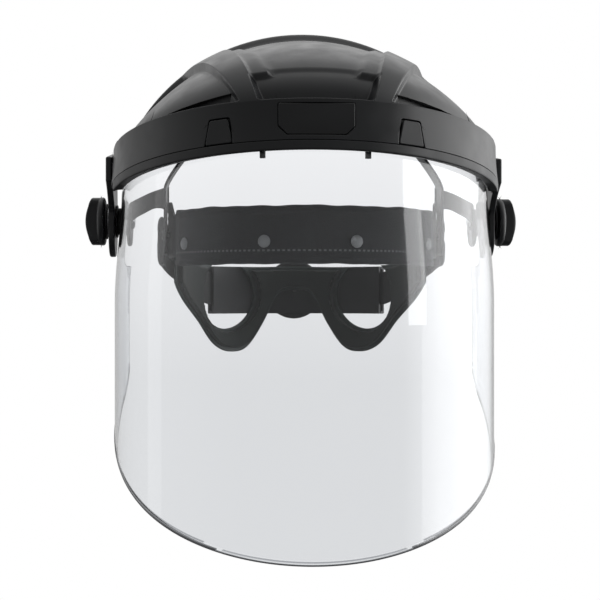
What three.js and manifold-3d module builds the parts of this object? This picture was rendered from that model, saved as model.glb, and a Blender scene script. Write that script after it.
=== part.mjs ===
// A ratchet face shield with a moulded crown and a clear wrap-around visor.
// Millimetres, +Z up. The face looks along -Y, and the wearer's left is +X.
// The origin is the middle of the pivot axis, at the centre of the headband's oval.
import * as THREE from "three";
import { mergeVertices } from "three/addons/utils/BufferGeometryUtils.js";
import Module from "manifold-3d";

const wasm = await Module();
wasm.setup();

// ---- Driving dimensions ----

const GAP = 0.3; // clearance between touching pieces

// Head oval: the middle of the headband, seen from above.
const OVAL = { side: 90, front: 98, back: 104 };
const BAND = { half: 1, low: -25, high: 2, end: 94 };
const SWEATBAND = { low: -31.4, high: 5.8, flap: 3.8, cushion: -8, end: 66 };
const STUD = { z: -17, angles: [-56, -17.5, 17.5, 56], head: 4, shank: 1.9, hole: 2.2 };

// Overhead strap: an arch of two halves from ear to ear.
const ARCH = { half: 91.8, foot: 20, top: 105, shoulder: [0.15, 0.3], y: -20, width: 22, thick: 1.6, end: -23 };
const RIVET = { z: -10, shank: 2.1, head: 3.6, slotHalf: 2.5, slotUp: 8, slotDown: 8 };

// Pivot stack along X, on the +X side.
const PIVOT = { plateIn: 116.4, plateOut: 119.2, lug: 13.5, bolt: 3, bore: 3.3, knobOut: 146 };
const EAR = { in: 125.6, out: 129.8, half: 15, bottom: -24 };

// Crown: the brow band's outer face in plan, then the dome above it.
const CROWN = { side: 125, deep: 128, centre: -30, thick: 2.8 };
const BROW = { front: 33, slope: 0.16, height: 29, lip: 6 };
const REAR = { radius: 128, height: 126.5, y: 2, low: 77 };
const RECESS = {
  depth: 5, edge: 1.6, inner: [15, 17], outer: [21, 28], step: [0.2, 0.235], lift: 0.045, panel: [13, 20],
};
const DOME = { riseFront: 0.2, reachBack: 0.48 };
const TAB = { angle: 26.6, baseHalf: 8.9, topHalf: 5.9, height: 14.4, back: -1.2 };
const BADGE = { half: 22, low: 42, high: 60, face: -157.7, back: -155.3, chamfer: 5 };

// Visor: a flexible sheet, wider below the crown than inside it.
const VISOR = {
  side: 119.6, deep: 122.2, flare: 4.6, thick: 1.8, top: 46, bottom: -207, sag: 500, rear: 3, corner: 12,
  relief: { y: -17, z: -30, round: 12 },
};
const HOOK = { x: 33, z: 38, low: 29.3, pin: 1.7, hole: 2 };

// Ratchet at the nape. Offsets are measured outwards from the head oval.
const NAPE = { z: -45, high: -28.4, low: -63, spread: 43 };
const LAYER = { pad: [-7, -3.3], cradle: [-3, -1.2], inner: [-0.9, 0.9], rack: [1.2, 3], cover: [3.3, 5.3] };
const CRADLE = { reach: 81, hole: 25, holeAt: 37, holeZ: -49 };
const GEAR = { teeth: 12, pitch: 6, depth: 1.7 };
const DIAL = { radius: 22, start: 9.2, thick: 15, grips: 16 };

const rad = THREE.MathUtils.degToRad;
const smooth = THREE.MathUtils.smoothstep;
const lerp = THREE.MathUtils.lerp;

// ---- Materials ----

const paint = (color, roughness, metalness = 0) =>
  new THREE.MeshStandardMaterial({ color, roughness, metalness });
const M = {
  shell: paint(0x1b1d1f, 0.32),
  satin: paint(0x202224, 0.5),
  clear: new THREE.MeshStandardMaterial({ color: 0xe9eef0, roughness: 0.04, transparent: true, opacity: 0.3 }),
  strap: paint(0x2a2c2b, 0.55),
  fabric: paint(0x1c1d1f, 0.95),
  foam: paint(0x2c3330, 0.85),
  steel: paint(0xa7aaad, 0.3, 1),
  rubber: paint(0x17181a, 0.8),
};

// ---- Making closed solids ----

// A closed solid with its faces pointing out, whichever way its triangles were listed.
function closed(points, triangles) {
  const g = new THREE.BufferGeometry();
  g.setAttribute("position", new THREE.Float32BufferAttribute(points.flatMap((p) => [p.x, p.y, p.z]), 3));
  let volume = 0;
  for (const [a, b, c] of triangles) volume += points[a].dot(points[b].clone().cross(points[c]));
  g.setIndex(triangles.flatMap(([a, b, c]) => (volume < 0 ? [a, c, b] : [a, b, c])));
  return g;
}

// A section, listed as points of [offset outwards, height], carried along a path seen from above.
function sweep(path, from, to, steps, section) {
  const points = [];
  const triangles = [];
  let count = 0;
  for (let i = 0; i <= steps; i++) {
    const t = lerp(from, to, i / steps);
    const { x, y, nx, ny } = path(t);
    const ring = section(t);
    count = ring.length;
    for (const [r, z] of ring) points.push(new THREE.Vector3(x + nx * r, y + ny * r, z));
  }
  for (let i = 0; i < steps; i++)
    for (let j = 0; j < count; j++) {
      const a = i * count + j;
      const b = i * count + ((j + 1) % count);
      triangles.push([a, b, b + count], [a, b + count, a + count]);
    }
  const last = steps * count;
  for (const [a, b, c] of fill(section(from))) triangles.push([c, b, a]);
  for (const [a, b, c] of fill(section(to))) triangles.push([last + a, last + b, last + c]);
  return closed(points, triangles);
}

// Triangles that fill a ring of [across, up] points, turning the same way as the ring does.
function fill(ring) {
  const outline = ring.map(([r, z]) => new THREE.Vector2(r, z));
  const way = Math.sign(THREE.ShapeUtils.area(outline));
  return THREE.ShapeUtils.triangulateShape(outline, []).map(([a, b, c]) =>
    (way * THREE.ShapeUtils.area([outline[a], outline[b], outline[c]]) < 0 ? [c, b, a] : [a, b, c]));
}

// A rectangle as a sweep's section.
const bar = (r0, r1, z0, z1) => [[r0, z0], [r1, z0], [r1, z1], [r0, z1]];

// A sheet with thickness: two grids of points with the same rows and columns, closed round the edge.
function sheet(outer, inner) {
  const rows = outer.length;
  const columns = outer[0].length;
  const points = [...outer.flat(), ...inner.flat()];
  const triangles = [];
  const half = rows * columns;
  const at = (i, j) => i * columns + j;
  const quad = (a, b, c, d) => triangles.push([a, b, c], [a, c, d]);
  for (let i = 0; i < rows - 1; i++)
    for (let j = 0; j < columns - 1; j++) {
      const [a, b, c, d] = [at(i, j), at(i, j + 1), at(i + 1, j + 1), at(i + 1, j)];
      quad(a, b, c, d);
      quad(half + d, half + c, half + b, half + a);
    }
  for (let j = 0; j < columns - 1; j++) {
    quad(at(0, j + 1), at(0, j), half + at(0, j), half + at(0, j + 1));
    quad(at(rows - 1, j), at(rows - 1, j + 1), half + at(rows - 1, j + 1), half + at(rows - 1, j));
  }
  for (let i = 0; i < rows - 1; i++) {
    quad(at(i, 0), at(i + 1, 0), half + at(i + 1, 0), half + at(i, 0));
    quad(at(i + 1, columns - 1), at(i, columns - 1), half + at(i, columns - 1), half + at(i + 1, columns - 1));
  }
  return closed(points, triangles);
}

// The other side's copy of a piece.
function mirrored(g) {
  const copy = solid(g).clone().applyMatrix4(new THREE.Matrix4().makeScale(-1, 1, 1));
  const index = Array.from(copy.index.array);
  for (let i = 0; i < index.length; i += 3) [index[i + 1], index[i + 2]] = [index[i + 2], index[i + 1]];
  copy.setIndex(index);
  return copy;
}

// A geometry with only its positions, and each shared point once.
function solid(g) {
  const bare = g.clone();
  for (const name of ["normal", "uv"]) bare.deleteAttribute(name);
  return mergeVertices(bare, 1e-4);
}

function manifold(g) {
  const s = solid(g);
  return new wasm.Manifold(
    new wasm.Mesh({ numProp: 3, vertProperties: s.attributes.position.array, triVerts: new Uint32Array(s.index.array) }),
  );
}

function geometry(m) {
  const mesh = m.getMesh();
  const g = new THREE.BufferGeometry();
  g.setAttribute("position", new THREE.BufferAttribute(new Float32Array(mesh.vertProperties), 3));
  g.setIndex(new THREE.BufferAttribute(new Uint32Array(mesh.triVerts), 1));
  return g;
}

const cut = (g, tools) => geometry(tools.reduce((m, tool) => m.subtract(manifold(tool)), manifold(g)));
const join = (pieces) => geometry(pieces.map(manifold).reduce((a, b) => a.add(b)));

// ---- Plain shapes ----

// A turned piece: its profile lists [radius, distance], and its axis points along a direction from a place.
function turned(profile, place, direction, segments = 24) {
  const g = new THREE.LatheGeometry(profile.map(([r, d]) => new THREE.Vector2(r, d)), segments);
  const spin = new THREE.Quaternion().setFromUnitVectors(new THREE.Vector3(0, 1, 0), direction.clone().normalize());
  return g.applyQuaternion(spin).translate(place.x, place.y, place.z);
}

const rod = (radius, from, to, place, direction, segments = 20) =>
  turned([[0, from], [radius, from], [radius, to], [0, to]], place, direction, segments);

const ring = (inner, outer, from, to, place, direction, segments = 28) =>
  turned([[inner, from], [outer, from], [outer, to], [inner, to], [inner, from]], place, direction, segments);

const box = (x, y, z) => new THREE.BoxGeometry(x[1] - x[0], y[1] - y[0], z[1] - z[0])
  .translate((x[0] + x[1]) / 2, (y[0] + y[1]) / 2, (z[0] + z[1]) / 2);

// A flat plate in the YZ plane between two X values.
function plateAcrossX(shape, x0, x1) {
  const g = new THREE.ExtrudeGeometry(shape, { depth: x1 - x0, bevelEnabled: false, curveSegments: 10 });
  return g.applyMatrix4(new THREE.Matrix4().set(0, 0, 1, x0, 1, 0, 0, 0, 0, 1, 0, 0, 0, 0, 0, 1));
}

const X = new THREE.Vector3(1, 0, 0);
const Y = new THREE.Vector3(0, 1, 0);
const ORIGIN = new THREE.Vector3();

// ---- Paths seen from above. The angle is 0 at the front and 180 at the nape ----

const ellipse = (side, front, back, centre) => (angle) => {
  const s = Math.sin(rad(angle));
  const c = Math.cos(rad(angle));
  const deep = c > 0 ? front : back;
  const n = Math.hypot(s / side, c / deep);
  return { x: side * s, y: centre - deep * c, nx: s / side / n, ny: -c / deep / n };
};
const head = ellipse(OVAL.side, OVAL.front, OVAL.back, 0);
const brow = ellipse(CROWN.side, CROWN.deep, CROWN.deep, CROWN.centre);

// A place on a path, pushed outwards, with the direction that it faces.
function onto(path, angle, r, z) {
  const { x, y, nx, ny } = path(angle);
  return { place: new THREE.Vector3(x + nx * r, y + ny * r, z), out: new THREE.Vector3(nx, ny, 0) };
}

// A smooth line through a few points of [where, value].
function line(points) {
  const curve = new THREE.SplineCurve(points.map(([a, b]) => new THREE.Vector2(a, b)));
  const samples = curve.getPoints(points.length * 12);
  return (where) => {
    const i = samples.findIndex((p) => p.x >= where);
    if (i < 0) return samples[samples.length - 1].y;
    if (i === 0) return samples[0].y;
    const [a, b] = [samples[i - 1], samples[i]];
    return lerp(a.y, b.y, (where - a.x) / (b.x - a.x));
  };
}

// ---- Headband ----

function browBand() {
  const strip = sweep(head, -BAND.end, BAND.end, 40, () => bar(-BAND.half, BAND.half, BAND.low, BAND.high));
  const holes = STUD.angles.map((angle) => {
    const { place, out } = onto(head, angle, 0, STUD.z);
    return rod(STUD.hole, -4, 4, place, out, 16);
  });
  const arm = sideArm();
  const drills = [1, -1].flatMap((side) => templeRivets(side).map((r) => r.drill));
  return cut(join([strip, arm, mirrored(arm)]), [...holes, ...drills]);
}

function sweatband() {
  const { low, high, flap, cushion, end } = SWEATBAND;
  const slit = BAND.half + GAP;
  const wrap = sweep(head, -end, end, 32, () => [
    [cushion, low + 2], [cushion + 1.6, low], [-slit, low], [-slit, BAND.high + GAP], [slit, BAND.high + GAP],
    [slit, low], [flap, low], [flap, high - 1.6], [flap - 1.6, high], [cushion + 2, high], [cushion, high - 2.4],
  ]);
  return cut(wrap, STUD.angles.map((angle) => {
    const { place, out } = onto(head, angle, 0, STUD.z);
    return rod(STUD.hole, slit - 0.5, flap + 2, place, out, 16);
  }));
}

function stud(angle) {
  const { place, out } = onto(head, angle, 0, STUD.z);
  const under = SWEATBAND.flap + 0.2;
  return turned(
    [[0, -1], [STUD.shank, -1], [STUD.shank, under], [STUD.head, under], [STUD.head, under + 0.6],
      [STUD.head * 0.7, under + 1.5], [0, under + 1.9]],
    place, out, 16,
  );
}

// ---- Temples: brackets, rivets and the overhead strap ----

// The arm leaves the band's bracket behind the overhead strap, then runs out to the pivot lug.
const armCurve = new THREE.CatmullRomCurve3(
  [[89.6, -7.4], [94, -7.6], [101, -8.4], [108, -9], [113, -8.6], [116.6, -6.4], [117.8, -2], [117.8, 9]]
    .map(([x, y]) => new THREE.Vector3(x, y, 0)),
);

function armPath(t) {
  const p = armCurve.getPointAt(t);
  const d = armCurve.getTangentAt(t);
  return { x: p.x, y: p.y, nx: d.y, ny: -d.x };
}

// An arm of the headgear, with the lug that the pivot bolt is keyed into and the bracket at its root.
function sideArm() {
  const top = line([[0, 23.5], [0.3, 19], [0.6, 13], [0.8, 10], [1, 8]]);
  const low = line([[0, 4], [0.1, 8], [0.2, 8.6], [0.4, 5], [0.6, 0], [0.75, -6], [1, -10]]);
  const arm = sweep(armPath, 0, 0.96, 28, (t) => bar(-1, 1, low(t), top(t)));
  const bracket = sweep(head, 71, 86.4, 8, (angle) => bar(-1, 1, 0, lerp(3, 12, smooth(angle, 71, 80))));
  const lug = rod(PIVOT.lug, PIVOT.plateIn, PIVOT.plateOut, new THREE.Vector3(0, 0, -3), X, 32);
  const key = box([PIVOT.plateIn - 1, PIVOT.plateOut + 1], [-3.2, 3.2], [-3.2, 3.2]);
  return cut(join([arm, lug, bracket]), [key]);
}

// One rivet guides the overhead strap's slot, and one holds the rear strap to the band.
function templeRivets(side) {
  const out = new THREE.Vector3(side, 0, 0);
  return [[ARCH.y, ARCH.half + ARCH.thick / 2, 85.8], [1, OVAL.side + LAYER.rack[1], 87.8]].map(([y, face, tip]) => {
    const place = new THREE.Vector3(0, y, RIVET.z);
    const under = face + GAP;
    return {
      drill: rod(RIVET.shank + GAP, tip - 4, face + 4, place, out, 16),
      rivet: turned(
        [[0, tip], [RIVET.shank, tip], [RIVET.shank, under], [RIVET.head, under], [RIVET.head, under + 0.5],
          [RIVET.head * 0.6, under + 1.5], [0, under + 1.7]],
        place, out, 16,
      ),
    };
  });
}

// The arch is swept lying down, with the path in XZ and the width along Y.
function archPath(t) {
  const { half, foot, top, end, shoulder } = ARCH;
  if (t < 0) return { x: half, z: foot + t * (foot - end), nx: 1, nz: 0 };
  if (t > 1) {
    const { x, z, nx, nz } = archPath(2 - t);
    return { x: -x, z, nx: -nx, nz };
  }
  const curve = new THREE.CubicBezierCurve(...[
    [half, foot], [half, lerp(foot, top, shoulder[0])], [half * shoulder[1], top], [0, top],
  ].map(([x, z]) => new THREE.Vector2(x, z)));
  const p = curve.getPoint(t);
  const d = curve.getTangent(t);
  return { x: p.x, z: p.y, nx: d.y, nz: -d.x };
}

// One half of the overhead strap. The lower half passes under the other at the top.
function archHalf(layer) {
  const stop = 1.19;
  const flat = sweep(
    (t) => { const p = archPath(t); return { x: p.x, y: p.z, nx: p.nx, ny: p.nz }; },
    -1, stop, 32,
    (t) => {
      const step = layer * smooth(t, 0.55, 0.75);
      const half = (ARCH.width / 2) * (1 - 0.18 * smooth(t, 0.2, 0.8));
      return bar(-ARCH.thick / 2 + step, ARCH.thick / 2 + step, -half, half);
    },
  );
  // Stands the strap up: the sweep's Y becomes Z, and its Z becomes -Y.
  const strap = flat.applyMatrix4(new THREE.Matrix4().set(1, 0, 0, 0, 0, 0, -1, ARCH.y, 0, 1, 0, 0, 0, 0, 0, 1));
  const { z, slotHalf, slotUp, slotDown } = RIVET;
  const slot = new THREE.Shape();
  slot.absarc(ARCH.y, z + slotUp, slotHalf, 0, Math.PI);
  slot.absarc(ARCH.y, z - slotDown, slotHalf, Math.PI, 2 * Math.PI);
  return cut(strap, [plateAcrossX(slot, ARCH.half - 4, ARCH.half + 4), ...archPegs(1).map((p) => p.drill)]);
}

// Two pegs pin the halves together at the top of the arch.
function archPegs(shrink = 0) {
  return [-6, 6].map((x) => {
    const place = new THREE.Vector3(x, ARCH.y, ARCH.top);
    const up = new THREE.Vector3(0, 0, 1);
    return {
      drill: rod(2.3 * (shrink || 1), -6, 6, place, up, 14),
      peg: turned(
        [[0, -5], [3.2, -5], [3.2, -4.3], [2, -4.1], [2, 1.9], [2.9, 2.2], [2.9, 2.8], [1.6, 3.4], [0, 3.4]],
        place, up, 14,
      ),
    };
  });
}

// A cloth pad outside the rear strap, round the head of the rivet that holds it on.
function templePad() {
  const pad = sweep(head, 88, 120, 9, (angle) => {
    const back = smooth(angle, 92, 120);
    const [low, high] = [lerp(-30, -40, back), lerp(3.5, -10, back)];
    return [[3.4, low + 1.5], [5, low], [7.4, low + 1], [8.8, low + 5], [8.8, high - 5], [7.4, high - 1], [5, high], [3.4, high - 1.5]];
  });
  return cut(pad, [rod(RIVET.head + 0.5, 90, 102, new THREE.Vector3(0, 1, RIVET.z), X, 18)]);
}

// ---- Pivots ----

// Everything on the +X pivot, from the inside out.
function pivotStack() {
  const { plateIn, plateOut, bolt, bore, knobOut } = PIVOT;
  const at = ORIGIN;
  const knobIn = EAR.out + 2.9;
  const head = turned([[0, plateIn - 2.6], [3.4, plateIn - 2.4], [5, plateIn - 1.4], [5, plateIn - GAP], [0, plateIn - GAP]], at, X);
  const square = box([plateIn - 1, plateOut - 0.2], [-2.9, 2.9], [-2.9, 2.9]);
  const shank = rod(bolt, plateIn - 1, knobOut - 4, at, X);
  return {
    pivot_bolt: [join([head, square, shank]), M.steel],
    pivot_spacer: [ring(bore, 9, plateOut + GAP, EAR.in - 1.6, at, X), M.rubber],
    friction_washer: [ring(bore, 11, EAR.in - 1.3, EAR.in - GAP, at, X), M.rubber],
    wave_washer: [ring(bore, 9.5, EAR.out + GAP, EAR.out + 1.2, at, X), M.steel],
    backing_washer: [ring(bore, 12, EAR.out + 1.5, EAR.out + 2.6, at, X), M.satin],
    tension_knob: [tensionKnob(knobIn), M.satin],
    knob_insert: [knobInsert(knobIn), M.steel],
  };
}

const hexagon = (radius, from, to) => new THREE.CylinderGeometry(radius, radius, to - from, 6)
  .rotateZ(-Math.PI / 2).translate((from + to) / 2, 0, 0);

// A dish with a broad grip bar across it.
function tensionKnob(start) {
  const { knobOut, bore } = PIVOT;
  const dish = turned([[0, start], [15.4, start], [16.2, start + 1], [15.6, start + 4.4], [12, start + 5.4], [0, start + 5.6]], ORIGIN, X, 36);
  const grip = new THREE.Shape();
  grip.moveTo(-6.2, -12);
  grip.quadraticCurveTo(-6.2, -16, 0, -16);
  grip.quadraticCurveTo(6.2, -16, 6.2, -12);
  grip.quadraticCurveTo(4.2, 0, 6.2, 12);
  grip.quadraticCurveTo(6.2, 16, 0, 16);
  grip.quadraticCurveTo(-6.2, 16, -6.2, 12);
  grip.quadraticCurveTo(-4.2, 0, -6.2, -12);
  const arc = rod(52, -30, 30, new THREE.Vector3(knobOut - 52, 0, 0), Y, 96);
  const wing = geometry(manifold(plateAcrossX(grip, start + 3, knobOut + 1)).intersect(manifold(arc)));
  return cut(join([dish, wing]), [
    rod(bore, start - 1, knobOut - 3.2, ORIGIN, X),
    hexagon(6 + GAP, start - 1, start + 5.3),
  ]);
}

const knobInsert = (start) => cut(hexagon(6, start + 0.4, start + 5), [rod(PIVOT.bore, start - 1, start + 7, ORIGIN, X)]);

// ---- Crown ----

const rim = (y) => BROW.front - (y - (CROWN.centre - CROWN.deep)) * BROW.slope;

// The dome's outer face. v runs from 0 at the brow band's top to 1 at the rear arch.
function domeAt(angle, v) {
  const foot = brow(angle);
  const a = new THREE.Vector3(foot.x, foot.y, rim(foot.y) + BROW.height);
  const lean = rad(angle * REAR.low / 90);
  const d = new THREE.Vector3(REAR.radius * Math.sin(lean), REAR.y, REAR.height * Math.cos(lean));
  const span = a.distanceTo(d);
  const b = a.clone().add(new THREE.Vector3(-foot.nx * 0.06, -foot.ny * 0.06, DOME.riseFront).multiplyScalar(span));
  const c = d.clone().add(new THREE.Vector3(0, -DOME.reachBack, -0.05 * Math.cos(lean)).multiplyScalar(span));
  return new THREE.CubicBezierCurve3(a, b, c, d).getPoint(v);
}

// How deep the recessed panels lie under the frame of brow band, ribs and rear arch, from 0 to 1.
function recess(angle, v) {
  const { edge, inner, outer, step, lift, panel } = RECESS;
  const a = Math.abs(angle);
  const span = smooth(v, 0.012, 0.04) * (1 - smooth(v, 0.86, 0.92)) * (1 - smooth(a, 74, 81));
  const beside = smooth(a - (outer[0] + outer[1] * v), -edge, edge);
  const between = 1 - smooth(a - (inner[0] + inner[1] * v), -edge, edge);
  const aside = smooth(a - (panel[0] + panel[1] * Math.max(0, v - step[1])), -edge, edge);
  const tier = smooth(v - lift * (1 - aside), ...step);
  return span * (beside + between * lerp(1.3, lerp(0.9, 0.35, aside), tier));
}

// Rows of points: up the brow band, then over the dome.
function crownRows() {
  const columns = 48;
  const bandRows = [0, 0.5, 1];
  const domeRows = [0.02, 0.06, 0.14, 0.2, 0.24, 0.285, 0.4, 0.52, 0.64, 0.76, 0.85, 0.92, 1];
  const angles = Array.from({ length: columns + 1 }, (_, i) => lerp(-90, 90, i / columns));
  const wall = (angle, t) => {
    const { x, y, nx, ny } = brow(angle);
    const flare = 1.6 * (1 - t) ** 2;
    return new THREE.Vector3(x + nx * flare, y + ny * flare, rim(y) + lerp(BROW.lip, BROW.height, t));
  };
  const across = (angle, v) => {
    const d = 0.01;
    const du = domeAt(angle + 0.5, v).sub(domeAt(angle - 0.5, v));
    const dv = domeAt(angle, Math.min(1, v + d)).sub(domeAt(angle, Math.max(0, v - d)));
    return du.cross(dv).normalize();
  };
  const outer = [];
  const inner = [];
  for (const t of bandRows) {
    outer.push(angles.map((angle) => wall(angle, t)));
    inner.push(angles.map((angle) => {
      const { nx, ny } = brow(angle);
      return wall(angle, t).add(new THREE.Vector3(-nx, -ny, 0).multiplyScalar(CROWN.thick));
    }));
  }
  for (const v of domeRows) {
    const sunk = (angle, extra) =>
      domeAt(angle, v).addScaledVector(across(angle, v), -(recess(angle, v) * RECESS.depth + extra));
    outer.push(angles.map((angle) => sunk(angle, 0)));
    inner.push(angles.map((angle) => sunk(angle, CROWN.thick)));
  }
  return { outer, inner };
}

// The ear that the crown turns on, on the +X side.
function ear() {
  const { in: x0, out: x1, half, bottom } = EAR;
  const shape = new THREE.Shape();
  shape.moveTo(-half - 24, 24);
  shape.quadraticCurveTo(-half - 3, 14, -half, 4);
  shape.lineTo(-half, bottom + half);
  shape.absarc(0, bottom + half, half, Math.PI, 2 * Math.PI);
  shape.lineTo(half, 6);
  shape.quadraticCurveTo(half - 1, 22, half - 9, 46);
  shape.lineTo(-half - 24, 40);
  return plateAcrossX(shape, x0, x1);
}

// The gap between the brow band and the side panel, as a wedge that narrows outwards.
function vent() {
  const low = (angle) => rim(brow(angle).y) + BROW.height + 1.4;
  const tall = (angle) => lerp(6.2, 0.9, (angle - 24.8) / 25);
  return sweep(brow, 24.8, 49.8, 14, (angle) => bar(-12.6, 3, low(angle), low(angle) + tall(angle)));
}

// A gutter inside the crown that closes the gap from behind, so that nothing flies in through it.
function baffle() {
  return sweep(brow, 21.5, 53, 11, (angle) => {
    const z = rim(brow(angle).y) + BROW.height;
    return [[-1, z - 2], [-14.6, z - 2], [-14.6, z + 10.4], [-13, z + 10.4], [-13, z - 0.4], [-1, z - 0.4]];
  });
}

// A release tab's outline on the brow, narrower at the top. grow leaves room round it.
function tabOutline(grow) {
  const across = (half) => THREE.MathUtils.radToDeg((half + grow) / CROWN.deep);
  const height = TAB.height + grow;
  return (r0, r1, rise) => {
    const points = [];
    const triangles = [];
    for (const r of [r0, r1])
      for (const [half, up] of [[-TAB.baseHalf, 0], [TAB.baseHalf, 0], [TAB.topHalf, 1], [-TAB.topHalf, 1]]) {
        const at = onto(brow, TAB.angle + Math.sign(half) * across(Math.abs(half)), r, 0).place;
        at.z = rim(at.y) + BROW.lip + (up ? height : -rise);
        points.push(at);
      }
    for (const [a, b, c, d] of [[0, 1, 2, 3], [7, 6, 5, 4], [0, 4, 5, 1], [1, 5, 6, 2], [2, 6, 7, 3], [3, 7, 4, 0]])
      triangles.push([a, b, c], [a, c, d]);
    return closed(points, triangles);
  };
}

function badgeShape(grow) {
  const { half, low, high, chamfer } = BADGE;
  const shape = new THREE.Shape();
  shape.moveTo(-half - grow, high + grow);
  shape.lineTo(-half - grow, low + chamfer);
  shape.lineTo(-half + chamfer, low - grow);
  shape.lineTo(half - chamfer, low - grow);
  shape.lineTo(half + grow, low + chamfer);
  shape.lineTo(half + grow, high + grow);
  return shape;
}

// A plate in the XZ plane between two Y values.
function plateAcrossY(shape, y0, y1) {
  const g = new THREE.ExtrudeGeometry(shape, { depth: y1 - y0, bevelEnabled: false });
  return g.applyMatrix4(new THREE.Matrix4().set(1, 0, 0, 0, 0, 0, -1, y1, 0, 1, 0, 0, 0, 0, 0, 1));
}

const badge = () => plateAcrossY(badgeShape(0), BADGE.face, BADGE.back);

function crown() {
  const { outer, inner } = crownRows();
  const right = ear();
  const bore = rod(PIVOT.bore, -160, 160, ORIGIN, X);
  const slot = vent();
  const notch = tabOutline(1)(-CROWN.thick - 3, 6, 4);
  const pocket = plateAcrossY(badgeShape(GAP), BADGE.face - 4, BADGE.back + GAP);
  const backing = box([-BADGE.half - 0.8, BADGE.half + 0.8], [-155.2, -153], [49, 61.6]);
  const gutter = baffle();
  const pieces = [sheet(outer, inner), right, mirrored(right), gutter, mirrored(gutter), backing];
  return cut(join(pieces), [bore, slot, mirrored(slot), notch, mirrored(notch), pocket]);
}

// ---- Visor carrier, tabs, hooks and visor ----

const WEB = { out: -3.2, in: -4.9, high: 15, rise: 7.5, end: 78 };

// The lip under the brow band, with a web that stands up behind it, higher behind the tabs, and carries the visor.
function carrier() {
  const rail = sweep(brow, -WEB.end, WEB.end, 52, (angle) => {
    const z = rim(brow(angle).y);
    const lip = BROW.lip - GAP;
    const aside = Math.abs(Math.abs(angle) - TAB.angle);
    const high = z + WEB.high + WEB.rise * (1 - smooth(aside, 6.5, 9.5));
    return [[WEB.in, z + 0.6], [1.2, z], [1.7, z + 1], [1.7, z + lip], [WEB.out, z + lip], [WEB.out, high], [WEB.in, high]];
  });
  return cut(rail, [1, -1].map((side) => hookPin(side, HOOK.hole)));
}

const tab = () => tabOutline(0)(TAB.back, 1.4, -GAP);

const hookSpot = (side) => {
  const angle = THREE.MathUtils.radToDeg(Math.asin(HOOK.x / CROWN.side)) * side;
  return onto(brow, angle, 0, HOOK.z);
};

function hookPin(side, radius, from = -12, to = 0) {
  const { place, out } = hookSpot(side);
  return rod(radius, from, to, place, out, 14);
}

// A hook behind the visor: a pin through visor and web, and a leg that hangs below the rim.
function hook(side) {
  const { place, out } = hookSpot(side);
  const outer = WEB.in - GAP - VISOR.thick - 0.5;
  const leg = new THREE.BoxGeometry(3, 2.2, place.z + 2.5 - HOOK.low)
    .translate(0, 0, (place.z + 2.5 + HOOK.low) / 2 - place.z)
    .rotateZ(Math.atan2(-out.x, -out.y) * -1)
    .translate(place.x + out.x * (outer - 1.4), place.y + out.y * (outer - 1.4), place.z);
  return join([hookPin(side, HOOK.pin, outer - 1.4, WEB.out - 0.2), leg]);
}

// The sheet is an ellipse in plan that gets wider below the crown, cut to an arc along the bottom.
function visor() {
  const { side, deep, flare, thick, top, bottom, sag, rear, corner } = VISOR;
  const rows = 7;
  const columns = 48;
  const widest = 180 - THREE.MathUtils.radToDeg(Math.acos((rear - CROWN.centre) / deep));
  const grid = (inset) => Array.from({ length: rows + 1 }, (_, i) => Array.from({ length: columns + 1 }, (_, j) => {
    const angle = lerp(-widest, widest, j / columns);
    const s = rad(angle) * side;
    const end = rad(widest) * side - Math.abs(s);
    const round = end < corner ? corner - Math.sqrt(corner ** 2 - (corner - end) ** 2) : 0;
    const high = Math.min(top, rim(ellipse(side, deep, deep, CROWN.centre)(angle).y) + 13) - 0.9 * smooth(Math.abs(angle), 60, 85) * 13;
    const z = lerp(high - round, bottom + s * s / sag + round, i / rows);
    const grown = side + flare * smooth(20 - z, 0, 75);
    return onto(ellipse(grown - inset, deep - inset, deep - inset, CROWN.centre), angle, 0, z).place;
  }));
  // Above the rear corner the sheet is cut away, to leave the pivot clear.
  const { y, z, round: bend } = VISOR.relief;
  const clear = new THREE.Shape();
  clear.moveTo(60, z);
  clear.lineTo(y + bend, z);
  clear.quadraticCurveTo(y, z, y, z + bend);
  clear.lineTo(y, 90);
  clear.lineTo(60, 90);
  return cut(sheet(grid(0), grid(thick)), [plateAcrossX(clear, -140, 140), ...[1, -1].map((way) => hookPin(way, HOOK.hole))]);
}

// ---- Nape: cradle, pad, straps and ratchet ----

const fromNape = (angle) => Math.abs(180 - angle);
const cradleLow = line([[-9, -50], [0, -46], [9, -50], [16, -70], [24, -87], [33, -91], [43, -86], [55, -68], [70, -52], [82, -40]]);
const cradleHigh = line([[-10, -28], [0, -28], [40, -28], [60, -25], [82, -10]]);

// The cradle and its pad share one outline, with a round hole in each lobe and an arch over the spine.
function napeSheet([r0, r1], inset, hole) {
  const { reach, holeAt, holeZ } = CRADLE;
  const wrap = sweep(head, 180 - reach + inset, 180 + reach - inset, 54, (angle) => {
    const a = fromNape(angle);
    return bar(r0, r1, cradleLow(a) + inset, cradleHigh(a) - inset);
  });
  return cut(wrap, [1, -1].map((side) => {
    const { place, out } = onto(head, 180 + side * holeAt, 0, holeZ);
    return rod(hole, -14, 8, place, out, 36);
  }));
}

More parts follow.
